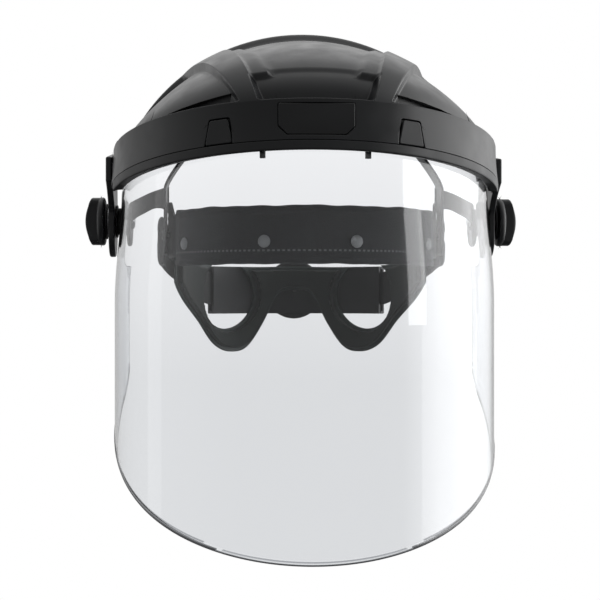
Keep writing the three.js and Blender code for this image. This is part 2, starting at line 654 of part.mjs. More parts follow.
// A rear strap runs from the temple to the ratchet and ends in a toothed tongue.
// The left one's tongue passes over the pinion and the right one's passes under it.
function rearStrap(side) {
  const [r0, r1] = LAYER.rack;
  const middle = (angle) => lerp(-12, NAPE.z, smooth(angle, 92, 140));
  const strap = sweep(head, 86.5, 150, 18, (angle) => {
    const half = lerp(9, 12, smooth(angle, 100, 140));
    return bar(r0, r1, middle(angle) - half, middle(angle) + half);
  });
  const { teeth, pitch, depth } = GEAR;
  const edge = pitch + 1.1;
  const height = (a, b) => (side > 0 ? [NAPE.z + a, NAPE.z + b] : [NAPE.z - b, NAPE.z - a]);
  const tongue = sweep(head, 149, 189, 14, () => bar(r0, r1, ...height(edge - 0.2, edge + 5)));
  const step = THREE.MathUtils.radToDeg((2 * Math.PI * pitch) / teeth / OVAL.side);
  const rack = Array.from({ length: 13 }, (_, i) => {
    const at = 180 + (i - 9.5) * step;
    return sweep(head, at - step * 0.2, at + step * 0.2, 1, () => bar(r0, r1, ...height(edge - depth, edge)));
  });
  const piece = cut(join([strap, tongue, ...rack]), templeRivets(1).map((r) => r.drill));
  return side > 0 ? piece : mirrored(piece);
}

const napeCentre = new THREE.Vector3(0, OVAL.back, NAPE.z);

function ratchetInner() {
  const [r0, r1] = LAYER.inner;
  const plate = sweep(head, 180 - NAPE.spread, 180 + NAPE.spread, 26, () => bar(r0, r1, NAPE.low, NAPE.high));
  return cut(plate, [rod(1.6, -4, 8, napeCentre, Y, 14)]);
}

function ratchetCover() {
  const [r0, r1] = LAYER.cover;
  const under = LAYER.inner[1] + GAP;
  const lip = 2;
  const shell = sweep(head, 180 - NAPE.spread, 180 + NAPE.spread, 26, () => [
    [under, NAPE.low], [r1, NAPE.low], [r1, NAPE.high], [under, NAPE.high], [under, NAPE.high - lip],
    [r0, NAPE.high - lip], [r0, NAPE.low + lip], [under, NAPE.low + lip],
  ]);
  const drum = ring(17, 20, r1 - 1, 8.8, napeCentre, Y, 36);
  return cut(join([shell, drum]), [rod(4.4, -2, 12, napeCentre, Y, 20)]);
}

function pinion() {
  const [r0, r1] = LAYER.rack;
  const { teeth, pitch, depth } = GEAR;
  const shape = new THREE.Shape();
  const points = Array.from({ length: teeth * 4 }, (_, i) => {
    const a = ((i - 0.5) / (teeth * 4)) * 2 * Math.PI + Math.PI / 2;
    const r = i % 4 < 2 ? pitch + depth / 2 - 0.35 : pitch - depth / 2 - 0.3;
    return new THREE.Vector2(r * Math.cos(a), r * Math.sin(a));
  });
  shape.setFromPoints(points);
  const gear = new THREE.ExtrudeGeometry(shape, { depth: r1 - r0 - 0.2, bevelEnabled: false })
    .rotateX(-Math.PI / 2).translate(0, OVAL.back + r0 + 0.1, NAPE.z);
  const hub = rod(3.9, r0 + 1, DIAL.start + 3, napeCentre, Y, 20);
  return cut(join([gear, hub]), [rod(1.6, -2, 20, napeCentre, Y, 14)]);
}

function dial() {
  const { radius, start, thick, grips } = DIAL;
  const body = turned(
    [[0, start], [radius - 1, start], [radius, start + 1.2], [radius, start + thick - 3], [radius - 3, start + thick], [0, start + thick]],
    napeCentre, Y, 48,
  );
  const scoops = Array.from({ length: grips }, (_, i) => {
    const a = (i / grips) * 2 * Math.PI;
    const at = napeCentre.clone().add(new THREE.Vector3(Math.cos(a), 0, Math.sin(a)).multiplyScalar(radius + 1.4));
    return rod(2.6, start + 2, start + thick + 2, at, Y, 10);
  });
  const socket = rod(3.9 + GAP, start - 1, start + 3.4, napeCentre, Y, 20);
  const screwWay = join([rod(1.7, start - 1, start + thick + 1, napeCentre, Y, 16), rod(3.6, start + thick - 4, start + thick + 1, napeCentre, Y, 20)]);
  return cut(body, [...scoops, socket, screwWay]);
}

// A springy ring with two fingers that click round inside the cover's drum.
function detentSpring() {
  const y0 = LAYER.cover[1] + GAP;
  const body = ring(5, 8.5, y0, y0 + 1.6, napeCentre, Y, 28);
  const finger = box([-1.6, 1.6], [OVAL.back + y0, OVAL.back + y0 + 1.6], [NAPE.z + 7.5, NAPE.z + 16.4]);
  const other = box([-1.6, 1.6], [OVAL.back + y0, OVAL.back + y0 + 1.6], [NAPE.z - 16.4, NAPE.z - 7.5]);
  return join([body, finger, other]);
}

const dialScrew = () => turned(
  [[0, -0.6], [1.3, -0.6], [1.3, DIAL.start + DIAL.thick - 3.7], [3.2, DIAL.start + DIAL.thick - 3.7],
    [3.2, DIAL.start + DIAL.thick - 2.2], [2.2, DIAL.start + DIAL.thick - 1.2], [0, DIAL.start + DIAL.thick - 1]],
  napeCentre, Y, 20,
);

// Push rivets hold the cradle to the ratchet's inner plate.
function cradleRivet(side) {
  const { place, out } = onto(head, 180 + side * 12, 0, NAPE.high - 6.5);
  return { place, out };
}

function cradleButton(side) {
  const { place, out } = cradleRivet(side);
  const start = LAYER.cradle[0] - GAP;
  return turned([[0, start - 1], [2.8, start - 0.8], [2.8, start], [1.7, start], [1.7, 0.8], [0, 0.8]], place, out, 14);
}

const cradleDrill = (radius, from, to) => [1, -1].map((side) => {
  const { place, out } = cradleRivet(side);
  return rod(radius, from, to, place, out, 14);
});

// ---- The assembly ----

const shield = new THREE.Group();

function add(name, shape, material) {
  const mesh = new THREE.Mesh(solid(shape), material);
  mesh.name = name;
  shield.add(mesh);
}

// One piece for each side of the head.
function addPair(name, shape, material) {
  add(`left_${name}`, shape, material);
  add(`right_${name}`, mirrored(shape), material);
}

add("brow_band", browBand(), M.strap);
add("sweatband", sweatband(), M.fabric);
STUD.angles.forEach((angle, i) => add(`sweatband_stud_${i + 1}`, stud(angle), M.satin));
templeRivets(1).forEach((r, i) => addPair(["slot_rivet", "strap_rivet"][i], r.rivet, M.satin));

addPair("temple_pad", templePad(), M.fabric);

add("left_overhead_strap", archHalf(1), M.strap);
add("right_overhead_strap", mirrored(archHalf(-1)), M.strap);
archPegs().forEach((p, i) => add(`overhead_peg_${i + 1}`, p.peg, M.satin));

for (const [name, [shape, material]] of Object.entries(pivotStack())) addPair(name, shape, material);

add("crown_shell", crown(), M.shell);
add("badge_plate", badge(), M.satin);
add("visor_carrier", carrier(), M.satin);
addPair("release_tab", tab(), M.satin);
add("left_visor_hook", hook(1), M.satin);
add("right_visor_hook", hook(-1), M.satin);
add("visor", visor(), M.clear);

add("left_rear_strap", rearStrap(1), M.strap);
add("right_rear_strap", rearStrap(-1), M.strap);
add("nape_cradle", cut(napeSheet(LAYER.cradle, 0, CRADLE.hole), cradleDrill(2, -6, 2)), M.strap);
add("nape_pad", cut(napeSheet(LAYER.pad, 1.5, CRADLE.hole + 1.5), cradleDrill(3.4, -9, 0)), M.foam);
addPair("cradle_rivet", cradleButton(1), M.satin);
add("ratchet_inner_plate", cut(ratchetInner(), cradleDrill(2, -3, 3)), M.satin);
add("ratchet_cover", ratchetCover(), M.satin);
add("ratchet_pinion", pinion(), M.satin);
add("detent_spring", detentSpring(), M.steel);
add("ratchet_dial", dial(), M.satin);
add("dial_screw", dialScrew(), M.steel);

export default shield;
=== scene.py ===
import math
import bmesh
import bpy
import numpy as np
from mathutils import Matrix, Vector


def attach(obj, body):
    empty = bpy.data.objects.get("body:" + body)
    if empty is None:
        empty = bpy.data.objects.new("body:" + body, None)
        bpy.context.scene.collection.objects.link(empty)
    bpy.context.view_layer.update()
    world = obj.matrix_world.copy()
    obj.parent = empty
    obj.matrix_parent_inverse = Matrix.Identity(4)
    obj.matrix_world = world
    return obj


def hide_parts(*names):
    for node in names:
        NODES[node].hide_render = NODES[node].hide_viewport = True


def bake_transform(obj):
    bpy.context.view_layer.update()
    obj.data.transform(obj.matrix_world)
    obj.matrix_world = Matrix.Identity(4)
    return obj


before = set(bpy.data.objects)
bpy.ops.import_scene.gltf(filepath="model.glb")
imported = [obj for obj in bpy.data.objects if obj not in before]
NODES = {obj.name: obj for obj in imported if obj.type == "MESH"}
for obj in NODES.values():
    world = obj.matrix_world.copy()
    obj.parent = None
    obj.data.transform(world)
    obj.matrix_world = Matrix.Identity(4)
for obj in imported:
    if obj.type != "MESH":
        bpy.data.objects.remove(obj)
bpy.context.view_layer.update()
MM = 0.001

# ---- Driving dimensions in millimetres and degrees, as in the CAD ----

BAND = dict(half=1, low=-25, high=2, end=94)
SWEATBAND = dict(low=-31.4, high=5.8, flap=3.8, cushion=-8, end=66)
STUD_Z, STUD_ANGLES = -17, (-56, -17.5, 17.5, 56)
ARCH = dict(half=91.8, foot=20, top=105, shoulder=(0.15, 0.3), y=-20, width=22, thick=1.6, end=-23)
RIVET_Z = -10
PIVOT = dict(plate_in=116.4, plate_out=119.2, lug=13.5, bore=3.3, knob_in=132.7, knob_out=146)
EAR = dict(inner=125.6, outer=129.8, half=15, bottom=-24)
CROWN = dict(side=125, deep=128, centre=-30, thick=2.8)
BROW = dict(front=33, slope=0.16, height=29, lip=6)
REAR = dict(radius=128, height=126.5, y=2, low=77)
RECESS = dict(depth=5, inner=(15, 17), outer=(21, 28), step=(0.2, 0.235), lift=0.045, panel=(13, 20))
RECESS_DEEP = dict(foot=1.9, top=1.15, panel=0.9, shoulder=0.5)    # in multiples of the recess depth
VENT = dict(start=24.8, end=49.8, inner=-12.6, outer=3, rise=1.4, tall=(6.2, 0.9))
GUTTER = dict(start=21.5, end=53, root=-1, inner=-14.6, outer=-13, floor=(-2, -0.4), top=10.4)
TAB = dict(angle=26.6, base=8.9, top=5.9, height=14.4)
BADGE = dict(half=22, low=42, high=60, face=-157.7, back=-155.3, chamfer=5)
BACKING = dict(spare=0.8, low=49, high=61.6, front=-155.2, back=-153)
WEB = dict(out=-3.2, inner=-4.9, high=15, rise=7.5, end=78)
HOOK = dict(x=33, z=38)
VISOR = dict(side=119.6, deep=122.2, flare=4.6, thick=1.8, top=46, bottom=-207, sag=500, rear=3, corner=12)
NAPE = dict(z=-45, high=-28.4, low=-63, spread=43, y=104)
LAYER = dict(pad=(-7, -3.3), cradle=(-3, -1.2), inner=(-0.9, 0.9), rack=(1.2, 3), cover=(3.3, 5.3))
DIAL = dict(radius=22, start=9.2, thick=15, grips=16)

# ---- The view, in metres and degrees ----

CAMERA = dict(azimuth=-3.1, distance=1.0, height=-0.053, lens=88.2, sensor=36, shift=-0.0033)
FLOOR = dict(radius=1500, z=-620)
LIGHTS = (    # name, place and size in metres, power in watts
    ("top_softbox", (0.0, 1.25, 1.0), (1.9, 0.8), 2.3),
    ("right_strip", (1.25, -0.67, 0.16), (0.3, 0.5), 1.0),
    ("right_softbox", (1.38, 0.0, 0.0), (1.3, 1.1), 2.5),
    ("left_strip", (-1.37, 0.16, -0.1), (0.3, 1.0), 0.3),
)


# ---- Small helpers ----

def smooth(x, low, high):
    t = np.clip((x - low) / (high - low), 0, 1)
    return t * t * (3 - 2 * t)


def lerp(a, b, t):
    return a + (b - a) * t


def oval(side, front, back, centre):
    """A path seen from above. The angle is 0 at the front and 180 at the nape."""
    def path(angle):
        s, c = np.sin(np.radians(angle)), np.cos(np.radians(angle))
        deep = np.where(c > 0, front, back)
        n = np.hypot(s / side, c / deep)
        return side * s, centre - deep * c, s / side / n, -c / deep / n
    return path


head = oval(90, 98, 104, 0)
brow = oval(CROWN["side"], CROWN["deep"], CROWN["deep"], CROWN["centre"])


def rim(y):
    return BROW["front"] - (y - (CROWN["centre"] - CROWN["deep"])) * BROW["slope"]


def onto(path, angle, r, z):
    """A place on a path, pushed outwards, and the direction that it faces."""
    x, y, nx, ny = path(angle)
    return Vector((x + nx * r, y + ny * r, z)), Vector((nx, ny, 0))


def soften(points, radius, steps=3):
    """Rounds the corners of a closed section."""
    out = []
    count = len(points)
    for i, p in enumerate(points):
        p, a, b = (np.array(v, float) for v in (p, points[i - 1], points[(i + 1) % count]))
        ra = min(radius, 0.45 * np.linalg.norm(a - p))
        rb = min(radius, 0.45 * np.linalg.norm(b - p))
        start = p + (a - p) / np.linalg.norm(a - p) * ra
        end = p + (b - p) / np.linalg.norm(b - p) * rb
        for k in range(steps + 1):
            t = k / steps
            out.append((1 - t) ** 2 * start + 2 * t * (1 - t) * p + t * t * end)
    return out


def bar(r0, r1, z0, z1):
    """The section of a flat strip, with slightly rounded edges."""
    radius = 0.5
    return soften([(r0, z0), (r1, z0), (r1, z1), (r0, z1)], radius)


def make(name, verts, faces, material=None):
    """A smooth-shaded mesh object from points in millimetres, with its faces pointing out."""
    mesh = bpy.data.meshes.new(name)
    mesh.from_pydata([tuple(float(c) * MM for c in v) for v in verts], [], faces)
    bm = bmesh.new()
    bm.from_mesh(mesh)
    bmesh.ops.remove_doubles(bm, verts=bm.verts, dist=1e-6)
    bmesh.ops.recalc_face_normals(bm, faces=bm.faces)
    for f in bm.faces:
        f.smooth = True
    bm.to_mesh(mesh)
    bm.free()
    obj = bpy.data.objects.new(name, mesh)
    bpy.context.scene.collection.objects.link(obj)
    if material:
        mesh.materials.append(material)
    return obj


def sweep(name, path, start, end, steps, section, material=None):
    """A closed section of (outwards, up) points carried along a path."""
    verts, faces = [], []
    for i in range(steps + 1):
        t = lerp(start, end, i / steps)
        x, y, nx, ny = path(t)
        ring = section(t)
        n = len(ring)
        verts += [(x + nx * r, y + ny * r, z) for r, z in ring]
    for i in range(steps):
        for j in range(n):
            k = (j + 1) % n
            faces.append((i * n + j, i * n + k, (i + 1) * n + k, (i + 1) * n + j))
    faces += [tuple(range(n))[::-1], tuple(range(steps * n, steps * n + n))]
    return make(name, verts, faces, material)


def grid_solid(name, outer, inner, material=None):
    """A sheet with thickness, from two grids of points of the same shape."""
    rows, columns = outer.shape[:2]
    verts = np.concatenate([outer.reshape(-1, 3), inner.reshape(-1, 3)])
    half = rows * columns
    at = np.arange(half).reshape(rows, columns)
    faces = []
    for i in range(rows - 1):
        for j in range(columns - 1):
            a, b, c, d = at[i, j], at[i, j + 1], at[i + 1, j + 1], at[i + 1, j]
            faces += [(a, b, c, d), (half + d, half + c, half + b, half + a)]
    edge = [*at[0, :], *at[1:, -1], *at[-1, -2::-1], *at[-2:0:-1, 0]]
    for a, b in zip(edge, edge[1:] + edge[:1]):
        faces.append((b, a, half + a, half + b))
    return make(name, verts, [tuple(int(v) for v in f) for f in faces], material)


def prism(name, outline, low, high, place):
    """An outline of (u, v) points given a depth. place turns (u, v, depth) into a point."""
    n = len(outline)
    verts = [place(u, v, w) for w in (low, high) for u, v in outline]
    faces = [tuple(range(n)), tuple(range(2 * n - 1, n - 1, -1))]
    faces += [(i, (i + 1) % n, n + (i + 1) % n, n + i) for i in range(n)]
    return make(name, verts, faces)


def lathe(name, profile, place, axis, segments=64, material=None, wobble=None):
    """A turned piece. The profile lists (radius, distance), and wobble changes the radius with the angle."""
    rings = []
    turn = Vector((0, 0, 1)).rotation_difference(Vector(axis))
    place = Vector(place)
    verts, faces = [], []
    for r, d in profile:
        ring = []
        for k in range(segments):
            a = 2 * math.pi * k / segments
            rr = r if wobble is None else wobble(r, d, a)
            ring.append(len(verts))
            verts.append(place + turn @ Vector((rr * math.cos(a), rr * math.sin(a), d)))
        rings.append(ring)
    closed = profile[0] == profile[-1]
    for a, b in zip(rings, rings[1:]):
        for k in range(segments):
            m = (k + 1) % segments
            faces.append((a[k], a[m], b[m], b[k]))
    if not closed:
        faces += [tuple(rings[0]), tuple(rings[-1])[::-1]]
    return make(name, verts, faces, material)


def apply_modifiers(obj):
    """Gives the object the mesh that its modifiers make of it."""
    depsgraph = bpy.context.evaluated_depsgraph_get()
    mesh = bpy.data.meshes.new_from_object(obj.evaluated_get(depsgraph))
    obj.modifiers.clear()
    old, obj.data = obj.data, mesh
    bpy.data.meshes.remove(old)


def boolean(obj, tools, operation="DIFFERENCE"):
    """Cuts the tools from the object or joins them to it, and removes them."""
    for tool in tools:
        m = obj.modifiers.new("boolean", "BOOLEAN")
        m.operation, m.solver, m.object = operation, "MANIFOLD", tool
        apply_modifiers(obj)
        bpy.data.objects.remove(tool)
    for p in obj.data.polygons:
        p.use_smooth = True
    return obj


def bevel(obj, width=0.4, segments=2, angle=40, clamp=True):
    """Rounds the edges sharper than the angle. The width is in millimetres."""
    m = obj.modifiers.new("bevel", "BEVEL")
    m.width, m.segments = width * MM, segments
    m.limit_method, m.angle_limit = "ANGLE", math.radians(angle)
    m.use_clamp_overlap = clamp
    m.harden_normals = False
    w = obj.modifiers.new("weighted", "WEIGHTED_NORMAL")
    w.keep_sharp = True
    return obj


def mirror_copy(obj, name):
    """The other side's copy of a piece."""
    mesh = obj.data.copy()
    mesh.name = name
    for v in mesh.vertices:
        v.co.x = -v.co.x
    mesh.flip_normals()
    copy = bpy.data.objects.new(name, mesh)
    bpy.context.scene.collection.objects.link(copy)
    for m in obj.modifiers:
        n = copy.modifiers.new(m.name, m.type)
        for prop in m.bl_rna.properties:
            if not prop.is_readonly and prop.identifier not in ("name", "object"):
                setattr(n, prop.identifier, getattr(m, prop.identifier))
    return copy


def place_piece(obj, body, slot, *nodes):
    """Rides the piece on its body, and puts it in place of the CAD nodes named."""
    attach(obj, body)
    if nodes:
        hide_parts(*nodes)
    return obj


# ---- Materials ----

def new_material(name):
    m = bpy.data.materials.new(name)
    m.use_nodes = True
    tree = m.node_tree
    return m, tree, tree.nodes["Principled BSDF"]


def noise(tree, scale, detail=3, rough=0.5, stretch=None):
    """Noise on the object's own coordinates. Scale is per metre."""
    coords = tree.nodes.new("ShaderNodeTexCoord")
    n = tree.nodes.new("ShaderNodeTexNoise")
    n.inputs["Scale"].default_value = scale
    n.inputs["Detail"].default_value = detail
    n.inputs["Roughness"].default_value = rough
    source = coords.outputs["Object"]
    if stretch:
        mapping = tree.nodes.new("ShaderNodeMapping")
        mapping.inputs["Scale"].default_value = stretch
        tree.links.new(source, mapping.inputs["Vector"])
        source = mapping.outputs["Vector"]
    tree.links.new(source, n.inputs["Vector"])
    return n.outputs["Fac"]


def spread(tree, source, low, high, start=0.3, end=0.7):
    """Runs from low to high as the source goes from start to end, and holds there."""
    r = tree.nodes.new("ShaderNodeMapRange")
    r.inputs["From Min"].default_value, r.inputs["From Max"].default_value = start, end
    r.inputs["To Min"].default_value, r.inputs["To Max"].default_value = low, high
    tree.links.new(source, r.inputs["Value"])
    return r.outputs["Result"]


def blend_colours(tree, factor, a, b):
    mix = tree.nodes.new("ShaderNodeMix")
    mix.data_type = "RGBA"
    tree.links.new(factor, mix.inputs["Factor"])
    for socket, colour in ((mix.inputs["A"], a), (mix.inputs["B"], b)):
        if isinstance(colour, tuple):
            socket.default_value = (*colour, 1)
        else:
            tree.links.new(colour, socket)
    return mix.outputs["Result"]


def bump(tree, height, strength, distance):
    """A bump from a height. The distance is in millimetres."""
    b = tree.nodes.new("ShaderNodeBump")
    b.inputs["Strength"].default_value = strength
    b.inputs["Distance"].default_value = distance * MM
    tree.links.new(height, b.inputs["Height"])
    return b.outputs["Normal"]


def moulded(name, colour, rough, grain=0.25, edge_wear_and_highlight=0.35):
    """Moulded plastic: fine grain, slow colour and gloss changes, and convex edges made lighter, partly as
    rubbed wear and partly as a painted highlight.
    """
    m, tree, shader = new_material(name)
    slow = spread(tree, noise(tree, 18, 4), 0, 1)
    fine = noise(tree, 1400, 2, 0.6)
    darker = tuple(c * 0.8 for c in colour)
    base = blend_colours(tree, slow, darker, colour)
    geometry = tree.nodes.new("ShaderNodeNewGeometry")
    # Convex edges are lightened: partly rubbed wear, partly a painted highlight where the light catches them.
    edge = spread(tree, geometry.outputs["Pointiness"], 0, edge_wear_and_highlight, 0.52, 0.62)
    worn_and_highlit = blend_colours(tree, edge, base, tuple(min(1, c * 2.6 + 0.012) for c in colour))
    tree.links.new(worn_and_highlit, shader.inputs["Base Color"])
    tree.links.new(spread(tree, noise(tree, 60, 5), rough * 0.85, rough * 1.2), shader.inputs["Roughness"])
    tree.links.new(bump(tree, fine, grain, 0.05), shader.inputs["Normal"])
    return m


def clear_sheet(name, low, high):
    """Clear polycarbonate: a grey tint that deepens downwards and at grazing angles, and handling marks.

    Light that only falls through it on the way to something else passes nearly unchanged.
    """
    m, tree, shader = new_material(name)
    coords = tree.nodes.new("ShaderNodeTexCoord")
    split = tree.nodes.new("ShaderNodeSeparateXYZ")
    tree.links.new(coords.outputs["Object"], split.inputs["Vector"])
    tint = blend_colours(tree, spread(tree, split.outputs["Z"], 0, 1, -0.1, 0.04), low, high)
    facing = tree.nodes.new("ShaderNodeLayerWeight")
    facing.inputs["Blend"].default_value = 0.5
    grazing = spread(tree, facing.outputs["Facing"], 0, 1, 0.8, 0.98)
    edge_tint = tuple(c * 0.3 for c in low)
    tree.links.new(blend_colours(tree, grazing, tint, edge_tint), shader.inputs["Base Color"])
    shader.inputs["IOR"].default_value = 1.58
    shader.inputs["Transmission Weight"].default_value = 1
    marks = noise(tree, 240, 6, 0.7, (1, 1, 0.15))
    tree.links.new(spread(tree, marks, 0.008, 0.03, 0.45, 0.8), shader.inputs["Roughness"])
    path = tree.nodes.new("ShaderNodeLightPath")
    see = tree.nodes.new("ShaderNodeBsdfTransparent")
    see.inputs["Color"].default_value = (0.9, 0.91, 0.92, 1)
    mix = tree.nodes.new("ShaderNodeMixShader")
    tree.links.new(path.outputs["Is Shadow Ray"], mix.inputs["Fac"])
    tree.links.new(shader.outputs["BSDF"], mix.inputs[1])
    tree.links.new(see.outputs["BSDF"], mix.inputs[2])
    tree.links.new(mix.outputs["Shader"], tree.nodes["Material Output"].inputs["Surface"])
    return m


def combine(tree, operation, a, b=0):
    """A maths node over sockets or plain numbers."""
    node = tree.nodes.new("ShaderNodeMath")
    node.operation = operation
    for socket, value in zip(node.inputs, (a, b)):
        if isinstance(value, (int, float)):
            socket.default_value = value
        else:
            tree.links.new(value, socket)
    return node.outputs[0]


def stitching(tree, height):
    """A row of 3 mm stitches that runs round the head at one height: 1 on the thread and 0 beside it."""
    coords = tree.nodes.new("ShaderNodeTexCoord")
    split = tree.nodes.new("ShaderNodeSeparateXYZ")
    tree.links.new(coords.outputs["Object"], split.inputs["Vector"])
    off = combine(tree, "ABSOLUTE", combine(tree, "SUBTRACT", split.outputs["Z"], height))
    round_head = combine(tree, "ARCTAN2", split.outputs["X"], split.outputs["Y"])
    dashes = combine(tree, "SINE", combine(tree, "MULTIPLY", round_head, 200))
    thread = spread(tree, off, 1, 0, 0.0004, 0.0008)
    return combine(tree, "MULTIPLY", thread, spread(tree, dashes, 0, 1, -0.4, 0.1))


def cloth(name, colour, lint, weave=900, sheen=0.4, seam=None):
    """Terry-faced fabric: looped pile, soft sheen and pale lint."""
    m, tree, shader = new_material(name)
    loops = noise(tree, weave, 4, 0.75)
    slow = spread(tree, noise(tree, 45, 4), 0, 1)
    base = blend_colours(tree, slow, tuple(c * 0.7 for c in colour), colour)
    specks = spread(tree, noise(tree, 1900, 2, 0.8), 0, 0.75, 0.62, 0.76)
    face = blend_colours(tree, specks, base, lint)
    if seam is not None:
        face = blend_colours(tree, stitching(tree, seam), face, tuple(c * 0.6 for c in lint))
    tree.links.new(face, shader.inputs["Base Color"])
    shader.inputs["Roughness"].default_value = 0.95
    shader.inputs["Sheen Weight"].default_value = sheen
    shader.inputs["Sheen Roughness"].default_value = 0.5
    tree.links.new(bump(tree, loops, 0.9, 0.7), shader.inputs["Normal"])
    return m


def steel(name):
    """Plated steel with fine drawn streaks."""
    m, tree, shader = new_material(name)
    shader.inputs["Metallic"].default_value = 1
    streaks = noise(tree, 900, 3, 0.6, (1, 1, 0.1))
    base = blend_colours(tree, spread(tree, streaks, 0, 1), (0.42, 0.43, 0.44), (0.6, 0.61, 0.62))
    tree.links.new(base, shader.inputs["Base Color"])
    tree.links.new(spread(tree, streaks, 0.22, 0.4), shader.inputs["Roughness"])
    tree.links.new(bump(tree, streaks, 0.15, 0.03), shader.inputs["Normal"])
    return m


SHELL = moulded("black_shell", (0.0105, 0.0115, 0.013), 0.33, grain=0.12)
SATIN = moulded("black_satin", (0.011, 0.012, 0.0135), 0.42, grain=0.2)
BADGE_FACE = moulded("badge_dark", (0.006, 0.0065, 0.0075), 0.3, grain=0.1)
STRAP = moulded("charcoal_strap", (0.02, 0.022, 0.0215), 0.5, grain=0.3, edge_wear_and_highlight=0.2)
CRADLE = moulded("cradle_grey_green", (0.034, 0.048, 0.044), 0.45, grain=0.3, edge_wear_and_highlight=0.2)
CLEAR = clear_sheet("clear_polycarbonate", (0.75, 0.765, 0.785), (0.93, 0.94, 0.96))
# Painted shade: near-black and grey tints of the clear sheet, laid on the visor's bottom edge rows to paint
# the dark and grey lines that the edge shows.
PAINTED_DARK_EDGE_LINE = clear_sheet("clear_painted_dark_edge_line", (0.05, 0.052, 0.056), (0.05, 0.052, 0.056))
PAINTED_GREY_EDGE_LINE = clear_sheet("clear_painted_grey_edge_line", (0.3, 0.31, 0.33), (0.3, 0.31, 0.33))
FABRIC = cloth("black_terry", (0.018, 0.019, 0.02), (0.2, 0.2, 0.205), sheen=0.2, seam=-0.0225)
STUD = moulded("pale_stud", (0.2, 0.205, 0.205), 0.35, grain=0.15)
FOAM = cloth("grey_green_foam", (0.02, 0.026, 0.023), (0.06, 0.065, 0.06), 1500, 0.2)
STEEL = steel("plated_steel")
RUBBER = moulded("black_rubber", (0.012, 0.012, 0.012), 0.75, grain=0.4, edge_wear_and_highlight=0.1)


# ---- Crown ----

def dome_at(angle, v):
    """A point of the dome, from the top of the brow's wall (v = 0) to the rear arch (v = 1)."""
    x, y, nx, ny = brow(angle)
    zero = np.zeros_like(x)
    a = np.stack([x, y, rim(y) + BROW["height"]], -1)
    lean = np.radians(angle * REAR["low"] / 90)
    d = np.stack([REAR["radius"] * np.sin(lean), zero + REAR["y"], REAR["height"] * np.cos(lean)], -1)
    span = np.linalg.norm(a - d, axis=-1)[..., None]
    b = a + np.stack([-nx * 0.06, -ny * 0.06, zero + 0.2], -1) * span
    c = d + np.stack([zero, zero - 0.48, -0.05 * np.cos(lean)], -1) * span
    t = np.asarray(v)[..., None]
    return (1 - t) ** 3 * a + 3 * (1 - t) ** 2 * t * b + 3 * (1 - t) * t * t * c + t**3 * d


def recess(angle, v):
    """How deep the panels lie under the frame of brow wall, ribs and rear arch, in multiples of the depth."""
    edge = 0.9
    a = np.abs(angle)
    (i0, i1), (o0, o1), (p0, p1) = RECESS["inner"], RECESS["outer"], RECESS["panel"]
    span = smooth(v, 0.008, 0.026) * (1 - smooth(v, 0.87, 0.905)) * (1 - smooth(a, 76, 80))
    beside = smooth(a - (o0 + o1 * v), -edge, edge)
    between = 1 - smooth(a - (i0 + i1 * v), -edge, edge)
    aside = smooth(a - (p0 + p1 * np.maximum(0, v - 0.235)), -1.2, 1.2)
    tier = smooth(v - RECESS["lift"] * (1 - aside), *RECESS["step"])
    floor = lerp(RECESS_DEEP["foot"], RECESS_DEEP["top"], smooth(v, 0.0, 0.22))
    upper = lerp(RECESS_DEEP["panel"], RECESS_DEEP["shoulder"], aside)
    deep = span * (beside + between * lerp(floor, upper, tier))
    lip_at, lip_width, lip_high = 0.12, 0.09, 0.16
    lip = np.exp(-(((deep - lip_at) / lip_width) ** 2)) * (1 - smooth(a, 70, 76)) * (1 - smooth(v, 0.5, 0.7))
    return deep - lip_high * lip


def crown_columns():
    """Angles across the crown, closer together at the ribs' edges and at the side frame."""
    near = np.linspace(-1.2, 1.2, 9)
    right = sorted({*np.arange(0, 13.6, 1.0), *(15 + near), *np.arange(17, 20, 1.0), *(21 + near),
                    *np.arange(23, 75, 1.4), *np.linspace(75, 81, 7), *np.linspace(82.5, 90, 5)})
    return np.array([-a for a in right[:0:-1]] + list(right))


def crown_sheet():
    """The moulding itself: the brow's wall and the dome with its recessed panels."""
    u = crown_columns()
    wall_rows = np.linspace(0, 1, 12)
    dome_rows = np.concatenate([
        np.linspace(0.003, 0.032, 14), np.linspace(0.04, 0.19, 14), np.linspace(0.2, 0.285, 15),
        np.linspace(0.3, 0.86, 32), np.linspace(0.87, 0.91, 8), np.linspace(0.925, 1, 6)])
    outer, depth = [], []
    x, y, nx, ny = brow(u)
    for t in wall_rows:
        flare = 1.6 * (1 - t) ** 2
        z = rim(y) + lerp(BROW["lip"], BROW["height"], t)
        outer.append(np.stack([x + nx * flare, y + ny * flare, z], -1))
        depth.append(np.zeros_like(u))
    for v in dome_rows:
        inner = RECESS["inner"][0] + RECESS["inner"][1] * v
        out = RECESS["outer"][0] + RECESS["outer"][1] * v
        angle = np.sign(u) * np.interp(np.abs(u), [0, 15, 21, 90], [0, inner, out, 90])
        outer.append(dome_at(angle, np.full_like(angle, v)))
        depth.append(recess(angle, v))
    outer, depth = np.array(outer), np.array(depth)
    across, up = np.gradient(outer, axis=1), np.gradient(outer, axis=0)
    normal = np.cross(across, up)
    normal /= np.linalg.norm(normal, axis=-1)[..., None]
    outer = outer - normal * (depth * RECESS["depth"])[..., None]
    return grid_solid("crown_shell_smooth", outer, outer - normal * CROWN["thick"], SHELL)


def ear(side):
    """The plate beside the pivot, with a round foot and a root that spreads under the crown."""
    half, bottom = EAR["half"], EAR["bottom"]
    outline = bezier((-half - 24, 24), (-half - 3, 14), (-half, 4), 8)
    outline += [(half * math.cos(a), bottom + half + half * math.sin(a))
                for a in np.linspace(math.pi, 2 * math.pi, 25)]
    outline += bezier((half, 6), (half - 1, 22), (half - 9, 46), 8)
    outline += [(-half - 24, 40)]
    plate = prism("ear", outline, EAR["inner"] * side, EAR["outer"] * side, lambda a, b, w: (w, a, b))
    bevel(plate, 1.1, 3, 40)
    apply_modifiers(plate)
    return plate


